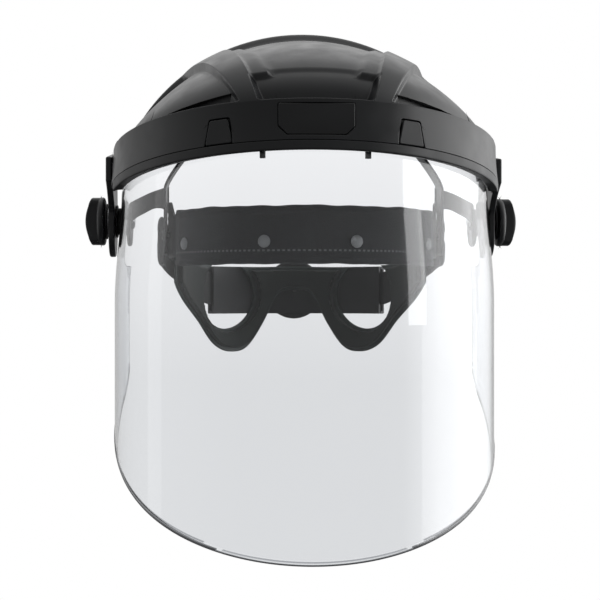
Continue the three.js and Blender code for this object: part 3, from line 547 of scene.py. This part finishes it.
def gutter(angle):
    """The section of the wall that closes a side gap from behind."""
    z = rim(brow(angle)[1]) + BROW["height"]
    root, inner, outer = GUTTER["root"], GUTTER["inner"], GUTTER["outer"]
    low, floor, top = z + GUTTER["floor"][0], z + GUTTER["floor"][1], z + GUTTER["top"]
    return [(root, low), (inner, low), (inner, top), (outer, top), (outer, floor), (root, floor)]


def vent(angle):
    """The section of a side gap, which narrows towards the ear."""
    low = rim(brow(angle)[1]) + BROW["height"] + VENT["rise"]
    high = low + lerp(*VENT["tall"], (abs(angle) - VENT["start"]) / (VENT["end"] - VENT["start"]))
    inner, outer = VENT["inner"], VENT["outer"]
    return soften([(inner, low), (outer, low), (outer, high), (inner, high)], 0.4)


def crown():
    shell = crown_sheet()
    added = [ear(1), ear(-1)]
    for side in (1, -1):
        added.append(sweep("baffle", brow, GUTTER["start"] * side, GUTTER["end"] * side, 24, gutter))
    half, low, high = BADGE["half"] + BACKING["spare"], BACKING["low"], BACKING["high"]
    added.append(prism("backing", [(-half, low), (half, low), (half, high), (-half, high)],
                       BACKING["front"], BACKING["back"], lambda a, b, w: (a, w, b)))
    boolean(shell, added, "UNION")

    tools = [lathe("bore", [(PIVOT["bore"], -160), (PIVOT["bore"], 160)], (0, 0, 0), (1, 0, 0), 32)]
    for side in (1, -1):
        tools.append(sweep("vent", brow, VENT["start"] * side, VENT["end"] * side, 24, vent))
        tools.append(tab_block("notch", side, 1, -CROWN["thick"] - 3, 6, -4))
    tools.append(badge_block("pocket", 0.3, BADGE["face"] - 4, BADGE["back"] + 0.3))
    boolean(shell, tools)
    bevel(shell, 0.35, 2, 42, clamp=False)
    return shell


def bezier(a, b, c, steps):
    a, b, c = np.array(a, float), np.array(b, float), np.array(c, float)
    return [tuple((1 - t) ** 2 * a + 2 * t * (1 - t) * b + t * t * c) for t in np.linspace(0, 1, steps)]


def tab_block(name, side, grow, r0, r1, drop):
    """A block on the brow that is narrower at its top, as the release tab is. drop moves its foot."""
    foot = TAB["base"] + grow
    top = TAB["top"] + grow
    height = TAB["height"] + grow
    outline = soften([(-foot, drop), (foot, drop), (top, height), (-top, height)], 1.5, 4)
    def place(u, v, r):
        p, _ = onto(brow, side * (TAB["angle"] + math.degrees(u / CROWN["deep"])), r, 0)
        return (p.x, p.y, rim(p.y) + BROW["lip"] + v)
    return prism(name, outline, r0, r1, place)


def badge_outline(grow):
    half, low, high = BADGE["half"] + grow, BADGE["low"] - grow, BADGE["high"] + grow
    c = BADGE["chamfer"]
    return soften([(-half, high), (-half, low + c), (-half + c, low),
                   (half - c, low), (half, low + c), (half, high)], 0.8)


def badge_block(name, grow, y0, y1):
    return prism(name, badge_outline(grow), y0, y1, lambda a, b, w: (a, w, b))


place_piece(crown(), "crown", "shell", "crown_shell")

badge = badge_block("badge_plate_smooth", 0, BADGE["face"], BADGE["back"])
badge.data.materials.append(BADGE_FACE)
place_piece(bevel(badge, 0.5, 3), "crown", "satin", "badge_plate")


# ---- Visor, its carrier, and the release tabs ----

def visor():
    """The curved sheet, with a thick bead along its bottom edge and a relief round each pivot."""
    side, deep, thick = VISOR["side"], VISOR["deep"], VISOR["thick"]
    behind_rim = 13
    widest = 180 - math.degrees(math.acos((VISOR["rear"] - CROWN["centre"]) / deep))
    angle = np.linspace(-widest, widest, 221)
    s = np.radians(np.abs(angle)) * side
    end = math.radians(widest) * side - s
    corner = VISOR["corner"]
    bend = np.where(end < corner, corner - np.sqrt(np.maximum(0, corner**2 - (corner - end) ** 2)), 0)
    y = oval(side, deep, deep, CROWN["centre"])(angle)[1]
    high = np.minimum(VISOR["top"], rim(y) + behind_rim) - 0.9 * behind_rim * smooth(np.abs(angle), 60, 85)
    low = VISOR["bottom"] + s * s / VISOR["sag"] + bend
    grids = []
    levels = [(t, 0, 0) for t in np.linspace(0, 0.985, 45)]
    levels += [(1, 2.6, 0), (1, 1.8, 1), (1, 0.9, 1), (1, 0, 0.4)]
    for inset, bead in ((0, 0.4), (thick, -0.3)):
        rows = []
        for t, up, proud in levels:
            z = lerp(high - bend, low, t) + up
            grown = side + VISOR["flare"] * smooth(20 - z, 0, 75) + bead * proud
            sn, cs = np.sin(np.radians(angle)), np.cos(np.radians(angle))
            x, y = (grown - inset) * sn, CROWN["centre"] - (deep + bead * proud - inset) * cs
            rows.append(np.stack([x, y, z], -1))
        grids.append(np.array(rows))
    sheet = grid_solid("visor_sheet", grids[0], grids[1], CLEAR)
    sheet.data.materials.append(PAINTED_DARK_EDGE_LINE)
    sheet.data.materials.append(PAINTED_GREY_EDGE_LINE)
    # Painted shade: the bottom 0.9 mm of the sheet takes the near-black tint, and the rows from 1.8 to 2.55
    # mm up take the grey tint.
    for p in sheet.data.polygons:
        centre = p.center / MM
        around = math.degrees(math.atan2(centre.x / side, -(centre.y - CROWN["centre"]) / deep))
        above = centre.z - np.interp(around, angle, low)
        p.material_index = 1 if above < 0.9 else 2 if 1.8 < above < 2.55 else 0
    outline = [(60, -30), (-5, -30), *bezier((-5, -30), (-17, -30), (-17, -18), 10)[1:], (-17, 90), (60, 90)]
    relief = prism("relief", outline, -140, 140, lambda a, b, w: (w, a, b))
    boolean(sheet, [relief])
    return bevel(sheet, 0.35, 2, 50, clamp=False)


place_piece(visor(), "visor_set", "clear", "visor")


def carrier():
    """The rail along the rim, with a web inside the crown that stands higher behind the tabs."""
    def section(angle):
        z = rim(brow(angle)[1])
        lip = BROW["lip"] - 0.3
        high = z + WEB["high"] + WEB["rise"] * (1 - smooth(abs(abs(angle) - TAB["angle"]), 6.5, 9.5))
        return soften([(WEB["inner"], z + 0.6), (1.2, z), (1.7, z + 1), (1.7, z + lip), (WEB["out"], z + lip),
                       (WEB["out"], high), (WEB["inner"], high)], 0.5)
    rail = sweep("visor_carrier_smooth", brow, -WEB["end"], WEB["end"], 180, section, SATIN)
    pins = []
    for side in (1, -1):
        p, out = onto(brow, side * math.degrees(math.asin(HOOK["x"] / CROWN["side"])), 0, HOOK["z"])
        pins.append(lathe("pin", [(2, -12), (2, 0)], p, out, 24))
    boolean(rail, pins)
    return bevel(rail, 0.3, 2, 60, clamp=False)


place_piece(carrier(), "visor_set", "satin", "visor_carrier")

for side, word in ((1, "left"), (-1, "right")):
    tab = tab_block(f"{word}_release_tab_smooth", side, 0, -1.2, 1.3, 0.3)
    tab.data.materials.append(SATIN)
    place_piece(bevel(tab, 0.6, 3), f"{word}_tab", "satin", f"{word}_release_tab")


# ---- Headband, arms and sweatband ----

def spline(points):
    """A smooth line through [where, value] points."""
    xs, ys = np.array([p[0] for p in points], float), np.array([p[1] for p in points], float)
    slope = np.gradient(ys, xs)
    def at(x):
        i = int(np.clip(np.searchsorted(xs, x) - 1, 0, len(xs) - 2))
        h = xs[i + 1] - xs[i]
        t = float(np.clip((x - xs[i]) / h, 0, 1))
        return ((2 * t**3 - 3 * t**2 + 1) * ys[i] + (t**3 - 2 * t**2 + t) * h * slope[i]
                + (3 * t**2 - 2 * t**3) * ys[i + 1] + (t**3 - t**2) * h * slope[i + 1])
    return at


# The arm's route seen from above, from the band's bracket to the pivot's lug.
ARM = np.array([[89.6, -7.4], [94, -7.6], [101, -8.4], [108, -9],
                [113, -8.6], [116.6, -6.4], [117.8, -2], [117.8, 9]])
ARM_AT = np.concatenate([[0], np.cumsum(np.hypot(*np.diff(ARM, axis=0).T))])
ARM_AT /= ARM_AT[-1]
arm_x, arm_y = spline(list(zip(ARM_AT, ARM[:, 0]))), spline(list(zip(ARM_AT, ARM[:, 1])))


def arm_path(t):
    dx, dy = arm_x(t + 0.01) - arm_x(t - 0.01), arm_y(t + 0.01) - arm_y(t - 0.01)
    n = math.hypot(dx, dy)
    return arm_x(t), arm_y(t), dy / n, -dx / n


def lug(side):
    """The round plate at the end of an arm, which the pivot bolt goes through."""
    inner, outer, radius, edge = PIVOT["plate_in"], PIVOT["plate_out"], PIVOT["lug"], 0.6
    profile = [(1, inner), (radius - edge, inner), (radius, inner + edge),
               (radius, outer - edge), (radius - edge, outer), (1, outer)]
    return lathe("lug", profile, (0, 0, -3), (side, 0, 0), 56)


def brow_band():
    """The band, with a bracket, an arm and a lug at each side."""
    low, high, half = BAND["low"], BAND["high"], BAND["half"]
    band = sweep("brow_band_smooth", head, -BAND["end"], BAND["end"], 150,
                 lambda a: bar(-half, half, low, high), STRAP)
    top = spline([[0, 23.5], [0.3, 19], [0.6, 13], [0.8, 10], [1, 8]])
    foot = spline([[0, 4], [0.1, 8], [0.2, 8.6], [0.4, 5], [0.6, 0], [0.75, -6], [1, -10]])
    parts = []
    for side in (1, -1):
        def route(t):
            x, y, nx, ny = arm_path(t)
            return side * x, y, side * nx, ny
        arm = sweep("arm", route, 0.01, 0.96, 60, lambda t: bar(-1, 1, foot(t), top(t)))
        bracket = sweep("bracket", lambda a: head(side * a), 71, 86.4, 24,
                        lambda a: bar(-1, 1, 0, lerp(3, 12, smooth(a, 71, 80))))
        parts += [bracket, arm, lug(side)]
    boolean(band, parts, "UNION")
    holes = []
    for angle in STUD_ANGLES:
        p, out = onto(head, angle, 0, STUD_Z)
        holes.append(lathe("hole", [(2.2, -4), (2.2, 4)], p, out, 20))
    boolean(band, holes)
    return bevel(band, 0.25, 2, 60, clamp=False)


place_piece(brow_band(), "headgear", "strap", "brow_band")


def sweatband():
    """A cloth sleeve folded over the band, a little uneven, thicker inside than outside."""
    low, high, flap, cushion, end = (SWEATBAND[k] for k in ("low", "high", "flap", "cushion", "end"))
    slit = BAND["half"] + 0.35
    rng = np.random.default_rng(7)
    waves = rng.uniform(0, 2 * math.pi, 12)
    def wave(angle, k):
        return sum(math.sin(math.radians(angle) * f + waves[(f + 3 * k) % 12]) for f in (9, 17, 31)) / 3
    def section(angle):
        fade = 1 - 0.35 * smooth(abs(angle), end - 6, end)
        puff = 0.5 * wave(angle, 1)
        top = high - 0.5 + 0.5 * wave(angle, 2)
        bottom = low + 0.3 + 0.35 * wave(angle, 3)
        face = (flap - 0.4) * fade
        inner = (cushion + 0.5) * fade - 0.3 * puff
        fold = BAND["high"] + 0.35
        ring = [(inner + 1.2, bottom + 1.0), (-slit - 0.4, bottom), (-slit, bottom + 3), (-slit, fold),
                (slit, fold), (slit, bottom + 3), (slit + 0.4, bottom), (face, bottom + 0.6),
                (face + 0.35, bottom + 3.2), (face - 0.35, bottom + 4.2), (face + 0.1, (low + high) / 2),
                (face - 0.3, top - 5.4), (face + 0.3, top - 4.2), (face - 0.2, top - 1.2), (slit + 0.2, top),
                (-slit - 1.5, top + 0.1), (inner + 1.4, top - 1.4), (inner, top - 5),
                (inner - 0.1, (low + high) / 2), (inner, bottom + 5)]
        return soften(ring, 1.4, 3)
    return sweep("sweatband_cloth", head, -end, end, 190, section, FABRIC)


sweat = sweatband()
place_piece(sweat, "headgear", "fabric", "sweatband")


def temple_pad(name, side):
    """A cloth pad outside the rear strap, round the head of the rivet that holds it on."""
    rng = np.random.default_rng(11 + side)
    waves = rng.uniform(0, 2 * math.pi, 6)
    def section(angle):
        back = smooth(angle, 92, 120)
        ripple = sum(math.sin(math.radians(angle) * f + waves[i]) for i, f in enumerate((18, 41, 67))) / 3
        low, high = lerp(-30, -40, back) + 0.5 * ripple, lerp(3.5, -10, back) - 0.4 * ripple
        face = 8.6 + 0.45 * ripple - 1.6 * smooth(angle, 116, 120) - 1.6 * (1 - smooth(angle, 88, 91))
        middle = (low + high) / 2
        ring = [(3.5, low + 1.5), (5, low), (face - 1.2, low + 0.8), (face, low + 5), (face + 0.2, middle),
                (face, high - 5), (face - 1.2, high - 0.8), (5, high), (3.5, high - 1.5), (3.5, middle)]
        return soften(ring, 2.2, 3)
    pad = sweep(name, lambda a: head(side * a), 88, 120, 60, section, FABRIC)
    return boolean(pad, [lathe("hole", [(4.1, 90), (4.1, 102)], (0, 1, RIVET_Z), (side, 0, 0), 32)])


for side, word in ((1, "left"), (-1, "right")):
    side_pad = temple_pad(f"{word}_temple_pad_cloth", side)
    place_piece(bevel(side_pad, 0.4, 2, 60, clamp=False), "headgear", "fabric", f"{word}_temple_pad")


# ---- Overhead strap ----

def arch_path(t):
    """The arch from its left leg (t < 0) over the top (t = 1), and the same again on the other side."""
    half, foot, top = ARCH["half"], ARCH["foot"], ARCH["top"]
    if t < 0:
        return half, foot + t * (foot - ARCH["end"]), 1, 0
    if t > 1:
        x, z, nx, nz = arch_path(2 - t)
        return -x, z, -nx, nz
    rise, reach = ARCH["shoulder"]
    a, b, c, d = np.array([(half, foot), (half, lerp(foot, top, rise)), (half * reach, top), (0, top)])
    p = (1 - t) ** 3 * a + 3 * (1 - t) ** 2 * t * b + 3 * (1 - t) * t * t * c + t**3 * d
    way = (1 - t) ** 2 * (b - a) + 2 * (1 - t) * t * (c - b) + t * t * (d - c)
    way /= np.linalg.norm(way)
    return p[0], p[1], way[1], -way[0]


def stand(obj):
    """The arch is swept lying down: its Y becomes Z, and its Z becomes -Y."""
    for v in obj.data.vertices:
        x, y, z = v.co
        v.co = (x, ARCH["y"] * MM - z, y)
    return obj


def arch_half(name, layer):
    """One half of the overhead strap, on the upper or lower layer of the overlap on top."""
    def section(t):
        step = layer * smooth(t, 0.55, 0.75)
        half = ARCH["width"] / 2 * (1 - 0.18 * smooth(t, 0.2, 0.8))
        return bar(-ARCH["thick"] / 2 + step, ARCH["thick"] / 2 + step, -half, half)
    strap = stand(sweep(name, arch_path, -1, 1.19, 110, section, STRAP))
    slot = [(ARCH["y"] + 2.5 * math.cos(a), RIVET_Z + 8 * (1 if math.sin(a) > 0 else -1) + 2.5 * math.sin(a))
            for a in np.linspace(0.01, 2 * math.pi - 0.01, 32)]
    tools = [prism("slot", slot, ARCH["half"] - 4, ARCH["half"] + 4, lambda a, b, w: (w, a, b))]
    for x in (-6, 6):
        tools.append(lathe("hole", [(2.3, -6), (2.3, 6)], (x, ARCH["y"], ARCH["top"]), (0, 0, 1), 20))
    boolean(strap, tools)
    return bevel(strap, 0.25, 2, 60, clamp=False)


left = arch_half("left_overhead_strap_smooth", 1)
right = mirror_copy(arch_half("arch_tool", -1), "right_overhead_strap_smooth")
bpy.data.objects.remove(bpy.data.objects["arch_tool"])
place_piece(left, "overhead_strap", "strap", "left_overhead_strap")
place_piece(right, "overhead_strap", "strap", "right_overhead_strap")


# ---- Nape: cradle, pad, straps and ratchet ----

# The cradle's edges: height over the angle from the nape.
cradle_low = spline([[-9, -50], [0, -46], [9, -50], [16, -70], [24, -87], [33, -91],
                     [43, -86], [55, -68], [70, -52], [82, -40]])
cradle_high = spline([[-10, -28], [0, -28], [40, -28], [60, -25], [82, -10]])


def nape_sheet(name, layer, inset, hole, material, radius):
    """The nape cradle or its pad: two drooping lobes with a round hole in each."""
    reach, hole_angle, hole_z = 81, 37, -49
    r0, r1 = LAYER[layer]
    def section(angle):
        a = abs(180 - angle)
        low, high = cradle_low(a) + inset, cradle_high(a) - inset
        rows = np.linspace(low, high, 14)
        return soften([(r1, z) for z in rows] + [(r0, z) for z in rows[::-1]], radius, 2)
    wrap = sweep(name, head, 180 - reach + inset, 180 + reach - inset, 160, section, material)
    tools = []
    for side in (1, -1):
        p, out = onto(head, 180 + side * hole_angle, 0, hole_z)
        tools.append(lathe("hole", [(hole, -14), (hole, 8)], p, out, 64))
    boolean(wrap, tools)
    return wrap


cradle = nape_sheet("nape_cradle_smooth", "cradle", 0, 25, CRADLE, 0.5)
place_piece(bevel(cradle, 0.4, 2, 50, clamp=False), "rear_unit", "strap", "nape_cradle")
pad = nape_sheet("nape_pad_cloth", "pad", 2.6, 27.4, FOAM, 1.2)
place_piece(bevel(pad, 0.9, 3, 50, clamp=False), "rear_unit", "foam", "nape_pad")


def rear_strap(name, side):
    """A strap from the temple to the nape. Behind the ear it narrows to the tongue that the pinion drives."""
    r0, r1 = LAYER["rack"]
    edge, tongue = 7.1, 149
    def section(angle):
        middle = lerp(-12, NAPE["z"], smooth(angle, 92, 140))
        half = lerp(9, 12, smooth(angle, 100, 140))
        low, high = middle - half, middle + half
        if angle > tongue:
            a, b = (edge - 0.2, edge + 5) if side > 0 else (-edge - 5, 0.2 - edge)
            low, high = NAPE["z"] + a, NAPE["z"] + b
        return bar(r0, r1, low, high)
    path = head if side > 0 else (lambda angle: head(-angle))
    strap = sweep(name, path, 86.5, 189, 170, section, STRAP)
    return bevel(strap, 0.3, 2, 60)


for side, word in ((1, "left"), (-1, "right")):
    strap = rear_strap(f"{word}_rear_strap_smooth", side)
    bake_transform(strap)
    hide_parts(f"{word}_rear_strap")

dial_hub = Vector((0, NAPE["y"], NAPE["z"]))


def ratchet_cover():
    """The curved cover over the tongues, with a short drum round the dial's shaft."""
    r0, r1 = LAYER["cover"]
    under, lip = LAYER["inner"][1] + 0.3, 2
    low, high = NAPE["low"], NAPE["high"]
    section = soften([(under, low), (r1, low), (r1, high), (under, high), (under, high - lip),
                      (r0, high - lip), (r0, low + lip), (under, low + lip)], 0.9)
    start, end = 180 - NAPE["spread"], 180 + NAPE["spread"]
    shell = sweep("ratchet_cover_smooth", head, start, end, 90, lambda angle: section, SATIN)
    profile = [(17, r1 - 1), (20.5, r1 - 1), (20.2, 8.2), (19.6, 8.8), (17.4, 8.8), (17, 8.4), (17, r1 - 1)]
    boolean(shell, [lathe("drum", profile, dial_hub, (0, 1, 0), 72)], "UNION")
    boolean(shell, [lathe("hole", [(4.4, -2), (4.4, 12)], dial_hub, (0, 1, 0), 32)])
    return bevel(shell, 0.4, 2, 55, clamp=False)


place_piece(ratchet_cover(), "rear_unit", "satin", "ratchet_cover")


def dial():
    """The scalloped dial, turned about the line through the nape."""
    R, start, thick, grips = DIAL["radius"], DIAL["start"], DIAL["thick"], DIAL["grips"]
    def wobble(r, d, a):
        if r < R - 3.5 or d < start + 1.5:
            return r
        depth = 1.5 * smooth(d, start + 1.5, start + 4)
        return r - depth * (0.5 + 0.5 * math.cos(a * grips)) ** 3
    top = start + thick
    profile = [(5, start + 3), (5, start + 0.3), (5.4, start), (R - 1.6, start), (R - 0.4, start + 0.4),
               (R, start + 1.4), (R, start + 2.5), (R, start + 4), (R, start + 6), (R, start + 8),
               (R, top - 5), (R, top - 4), (R - 0.3, top - 3), (R - 1, top - 2), (R - 2.2, top - 0.9),
               (R - 3.6, top - 0.25), (R - 5, top), (R - 7, top), (R - 7.6, top - 0.3),
               (R - 8.2, top - 1.2), (R - 9, top - 1.4), (5.2, top - 1.4), (4.6, top - 1.2),
               (4.3, top - 1), (3.7, top - 1.2), (3.6, top - 4), (1, top - 4)]
    return lathe("ratchet_dial_smooth", profile, dial_hub, (0, 1, 0), 192, SATIN, wobble)


place_piece(dial(), "dial", "satin", "ratchet_dial")


# ---- Tension knobs ----

def knob(name, side):
    """A round dish with a waisted grip across it."""
    start, end = PIVOT["knob_in"], PIVOT["knob_out"]
    profile = [(3.4, 4), (3.4, 0), (14.6, 0), (15.6, 0.4), (16.2, 1.2), (16.2, 2.4), (15.8, 3.4),
               (15.2, 4.2), (13.6, 4.9), (11, 5.3), (1, 5.6)]
    dish = lathe(name, [(r, start + d) for r, d in profile], (0, 0, 0), (side, 0, 0), 72, SATIN)
    outline = []
    for a, b, c in (((-6.2, -12), (-6.2, -16), (0, -16)), ((0, -16), (6.2, -16), (6.2, -12)),
                    ((6.2, -12), (4.2, 0), (6.2, 12)), ((6.2, 12), (6.2, 16), (0, 16)),
                    ((0, 16), (-6.2, 16), (-6.2, 12)), ((-6.2, 12), (-4.2, 0), (-6.2, -12))):
        outline += bezier(a, b, c, 12)[:-1]
    layers = []
    for d, shrink in ((start + 3, 1), (end - 2.4, 1), (end - 1.2, 0.97), (end - 0.4, 0.9), (end, 0.78)):
        crest = 0.012 * (d - start - 3) / 10
        layers.append([(side * (d - crest * v * v), u * (0.2 + 0.8 * shrink), v * shrink)
                       for u, v in outline])
    n = len(outline)
    verts = [p for ring in layers for p in ring]
    faces = [tuple(range(n)), tuple(range((len(layers) - 1) * n, len(layers) * n))]
    for i in range(len(layers) - 1):
        a, b = i * n, (i + 1) * n
        faces += [(a + j, a + (j + 1) % n, b + (j + 1) % n, b + j) for j in range(n)]
    grip = make("grip", verts, faces)
    boolean(dish, [grip], "UNION")
    return bevel(dish, 0.4, 2, 50, clamp=False)


for side, word in ((1, "left"), (-1, "right")):
    place_piece(knob(f"{word}_tension_knob_smooth", side), f"{word}_knob", "satin", f"{word}_tension_knob")


# ---- CAD nodes that stay ----

KEPT = {
    STUD: ("stud",),
    SATIN: ("visor_hook", "slot_rivet", "strap_rivet", "overhead_peg", "cradle_rivet", "backing_washer",
            "pinion", "inner_plate"),
    STEEL: ("pivot_bolt", "wave_washer", "knob_insert", "detent_spring", "dial_screw"),
    RUBBER: ("pivot_spacer", "friction_washer"),
}
for material, words in KEPT.items():
    for name, node in NODES.items():
        if not any(w in name for w in words):
            continue
        node.data.materials.clear()
        node.data.materials.append(material)
        for p in node.data.polygons:
            p.use_smooth = True
        weld = node.modifiers.new("weld", "WELD")
        weld.merge_threshold = 0.00001
        bevel(node, 0.25, 2, 35)


# ---- Floor, light and camera ----

def seen_directly(tree):
    """1 for what the eye sees straight or through the clear sheet, 0 for reflections and falling light."""
    path = tree.nodes.new("ShaderNodeLightPath")
    seen = combine(tree, "MAXIMUM", path.outputs["Is Camera Ray"], path.outputs["Is Transmission Ray"])
    unreflected = combine(tree, "LESS_THAN", path.outputs["Glossy Depth"], 0.5)
    return combine(tree, "MULTIPLY", seen, unreflected)


def pale_floor():
    """A wide disc well below the part: white to the eye, and dark to light, so that it reflects little."""
    radius, z, sides = FLOOR["radius"], FLOOR["z"], 96
    turns = np.linspace(0, 2 * math.pi, sides, endpoint=False)
    ring = [(radius * math.cos(a), radius * math.sin(a), z) for a in turns]
    floor = make("floor", ring, [tuple(range(sides))])
    m, tree, shader = new_material("pale_floor")
    grey = blend_colours(tree, noise(tree, 3, 2), (0.1, 0.1, 0.1), (0.12, 0.12, 0.12))
    tree.links.new(grey, shader.inputs["Base Color"])
    shader.inputs["Roughness"].default_value = 0.9
    shader.inputs["Specular IOR Level"].default_value = 0
    shader.inputs["Emission Color"].default_value = (1, 1, 1, 1)
    tree.links.new(seen_directly(tree), shader.inputs["Emission Strength"])
    floor.data.materials.append(m)


def surroundings():
    """White where the eye looks past the part, and a soft grey room, brighter behind and on the right."""
    world = bpy.data.worlds.new("studio")
    bpy.context.scene.world = world
    world.use_nodes = True
    tree = world.node_tree
    background = tree.nodes["Background"]
    coords = tree.nodes.new("ShaderNodeTexCoord")
    split = tree.nodes.new("ShaderNodeSeparateXYZ")
    tree.links.new(coords.outputs["Generated"], split.inputs["Vector"])
    front = spread(tree, split.outputs["Y"], 0.25, 0.66, -0.75, 0.35)
    up = spread(tree, split.outputs["Z"], 0.0, 0.25, 0.75, 1.0)
    aside = spread(tree, split.outputs["X"], 0.0, 1.6, 0.45, 0.85)
    right = combine(tree, "MULTIPLY", aside, spread(tree, split.outputs["Y"], 0.0, 1.0, -0.56, -0.12))
    total = combine(tree, "ADD", combine(tree, "ADD", front, up), right)
    mix = tree.nodes.new("ShaderNodeMix")
    tree.links.new(seen_directly(tree), mix.inputs["Factor"])
    tree.links.new(total, mix.inputs["A"])
    mix.inputs["B"].default_value = 1.0
    tree.links.new(mix.outputs["Result"], background.inputs["Strength"])
    background.inputs["Color"].default_value = (1, 1, 1, 1)


def lights():
    """Each lamp faces the part: the side ones level, the top one downwards."""
    for name, place, size, power in LIGHTS:
        light = bpy.data.lights.new(name, "AREA")
        light.shape, light.size, light.size_y, light.energy = "RECTANGLE", size[0], size[1], power
        lamp = bpy.data.objects.new(name, light)
        lamp.location = place
        aim = Vector((0, -0.05, place[2] if place[2] < 1 else 0))
        lamp.rotation_euler = (aim - Vector(place)).to_track_quat("-Z", "Y").to_euler()
        bpy.context.scene.collection.objects.link(lamp)


def front_camera():
    azimuth, distance = math.radians(CAMERA["azimuth"]), CAMERA["distance"]
    data = bpy.data.cameras.new("camera")
    data.lens, data.sensor_width, data.shift_x = CAMERA["lens"], CAMERA["sensor"], CAMERA["shift"]
    camera = bpy.data.objects.new("camera", data)
    camera.location = (distance * math.sin(azimuth), -distance * math.cos(azimuth), CAMERA["height"])
    camera.rotation_euler = (math.radians(90), 0, azimuth)
    bpy.context.scene.collection.objects.link(camera)
    bpy.context.scene.camera = camera
    bpy.context.scene.view_settings.view_transform = "Standard"


pale_floor()
surroundings()
lights()
front_camera()
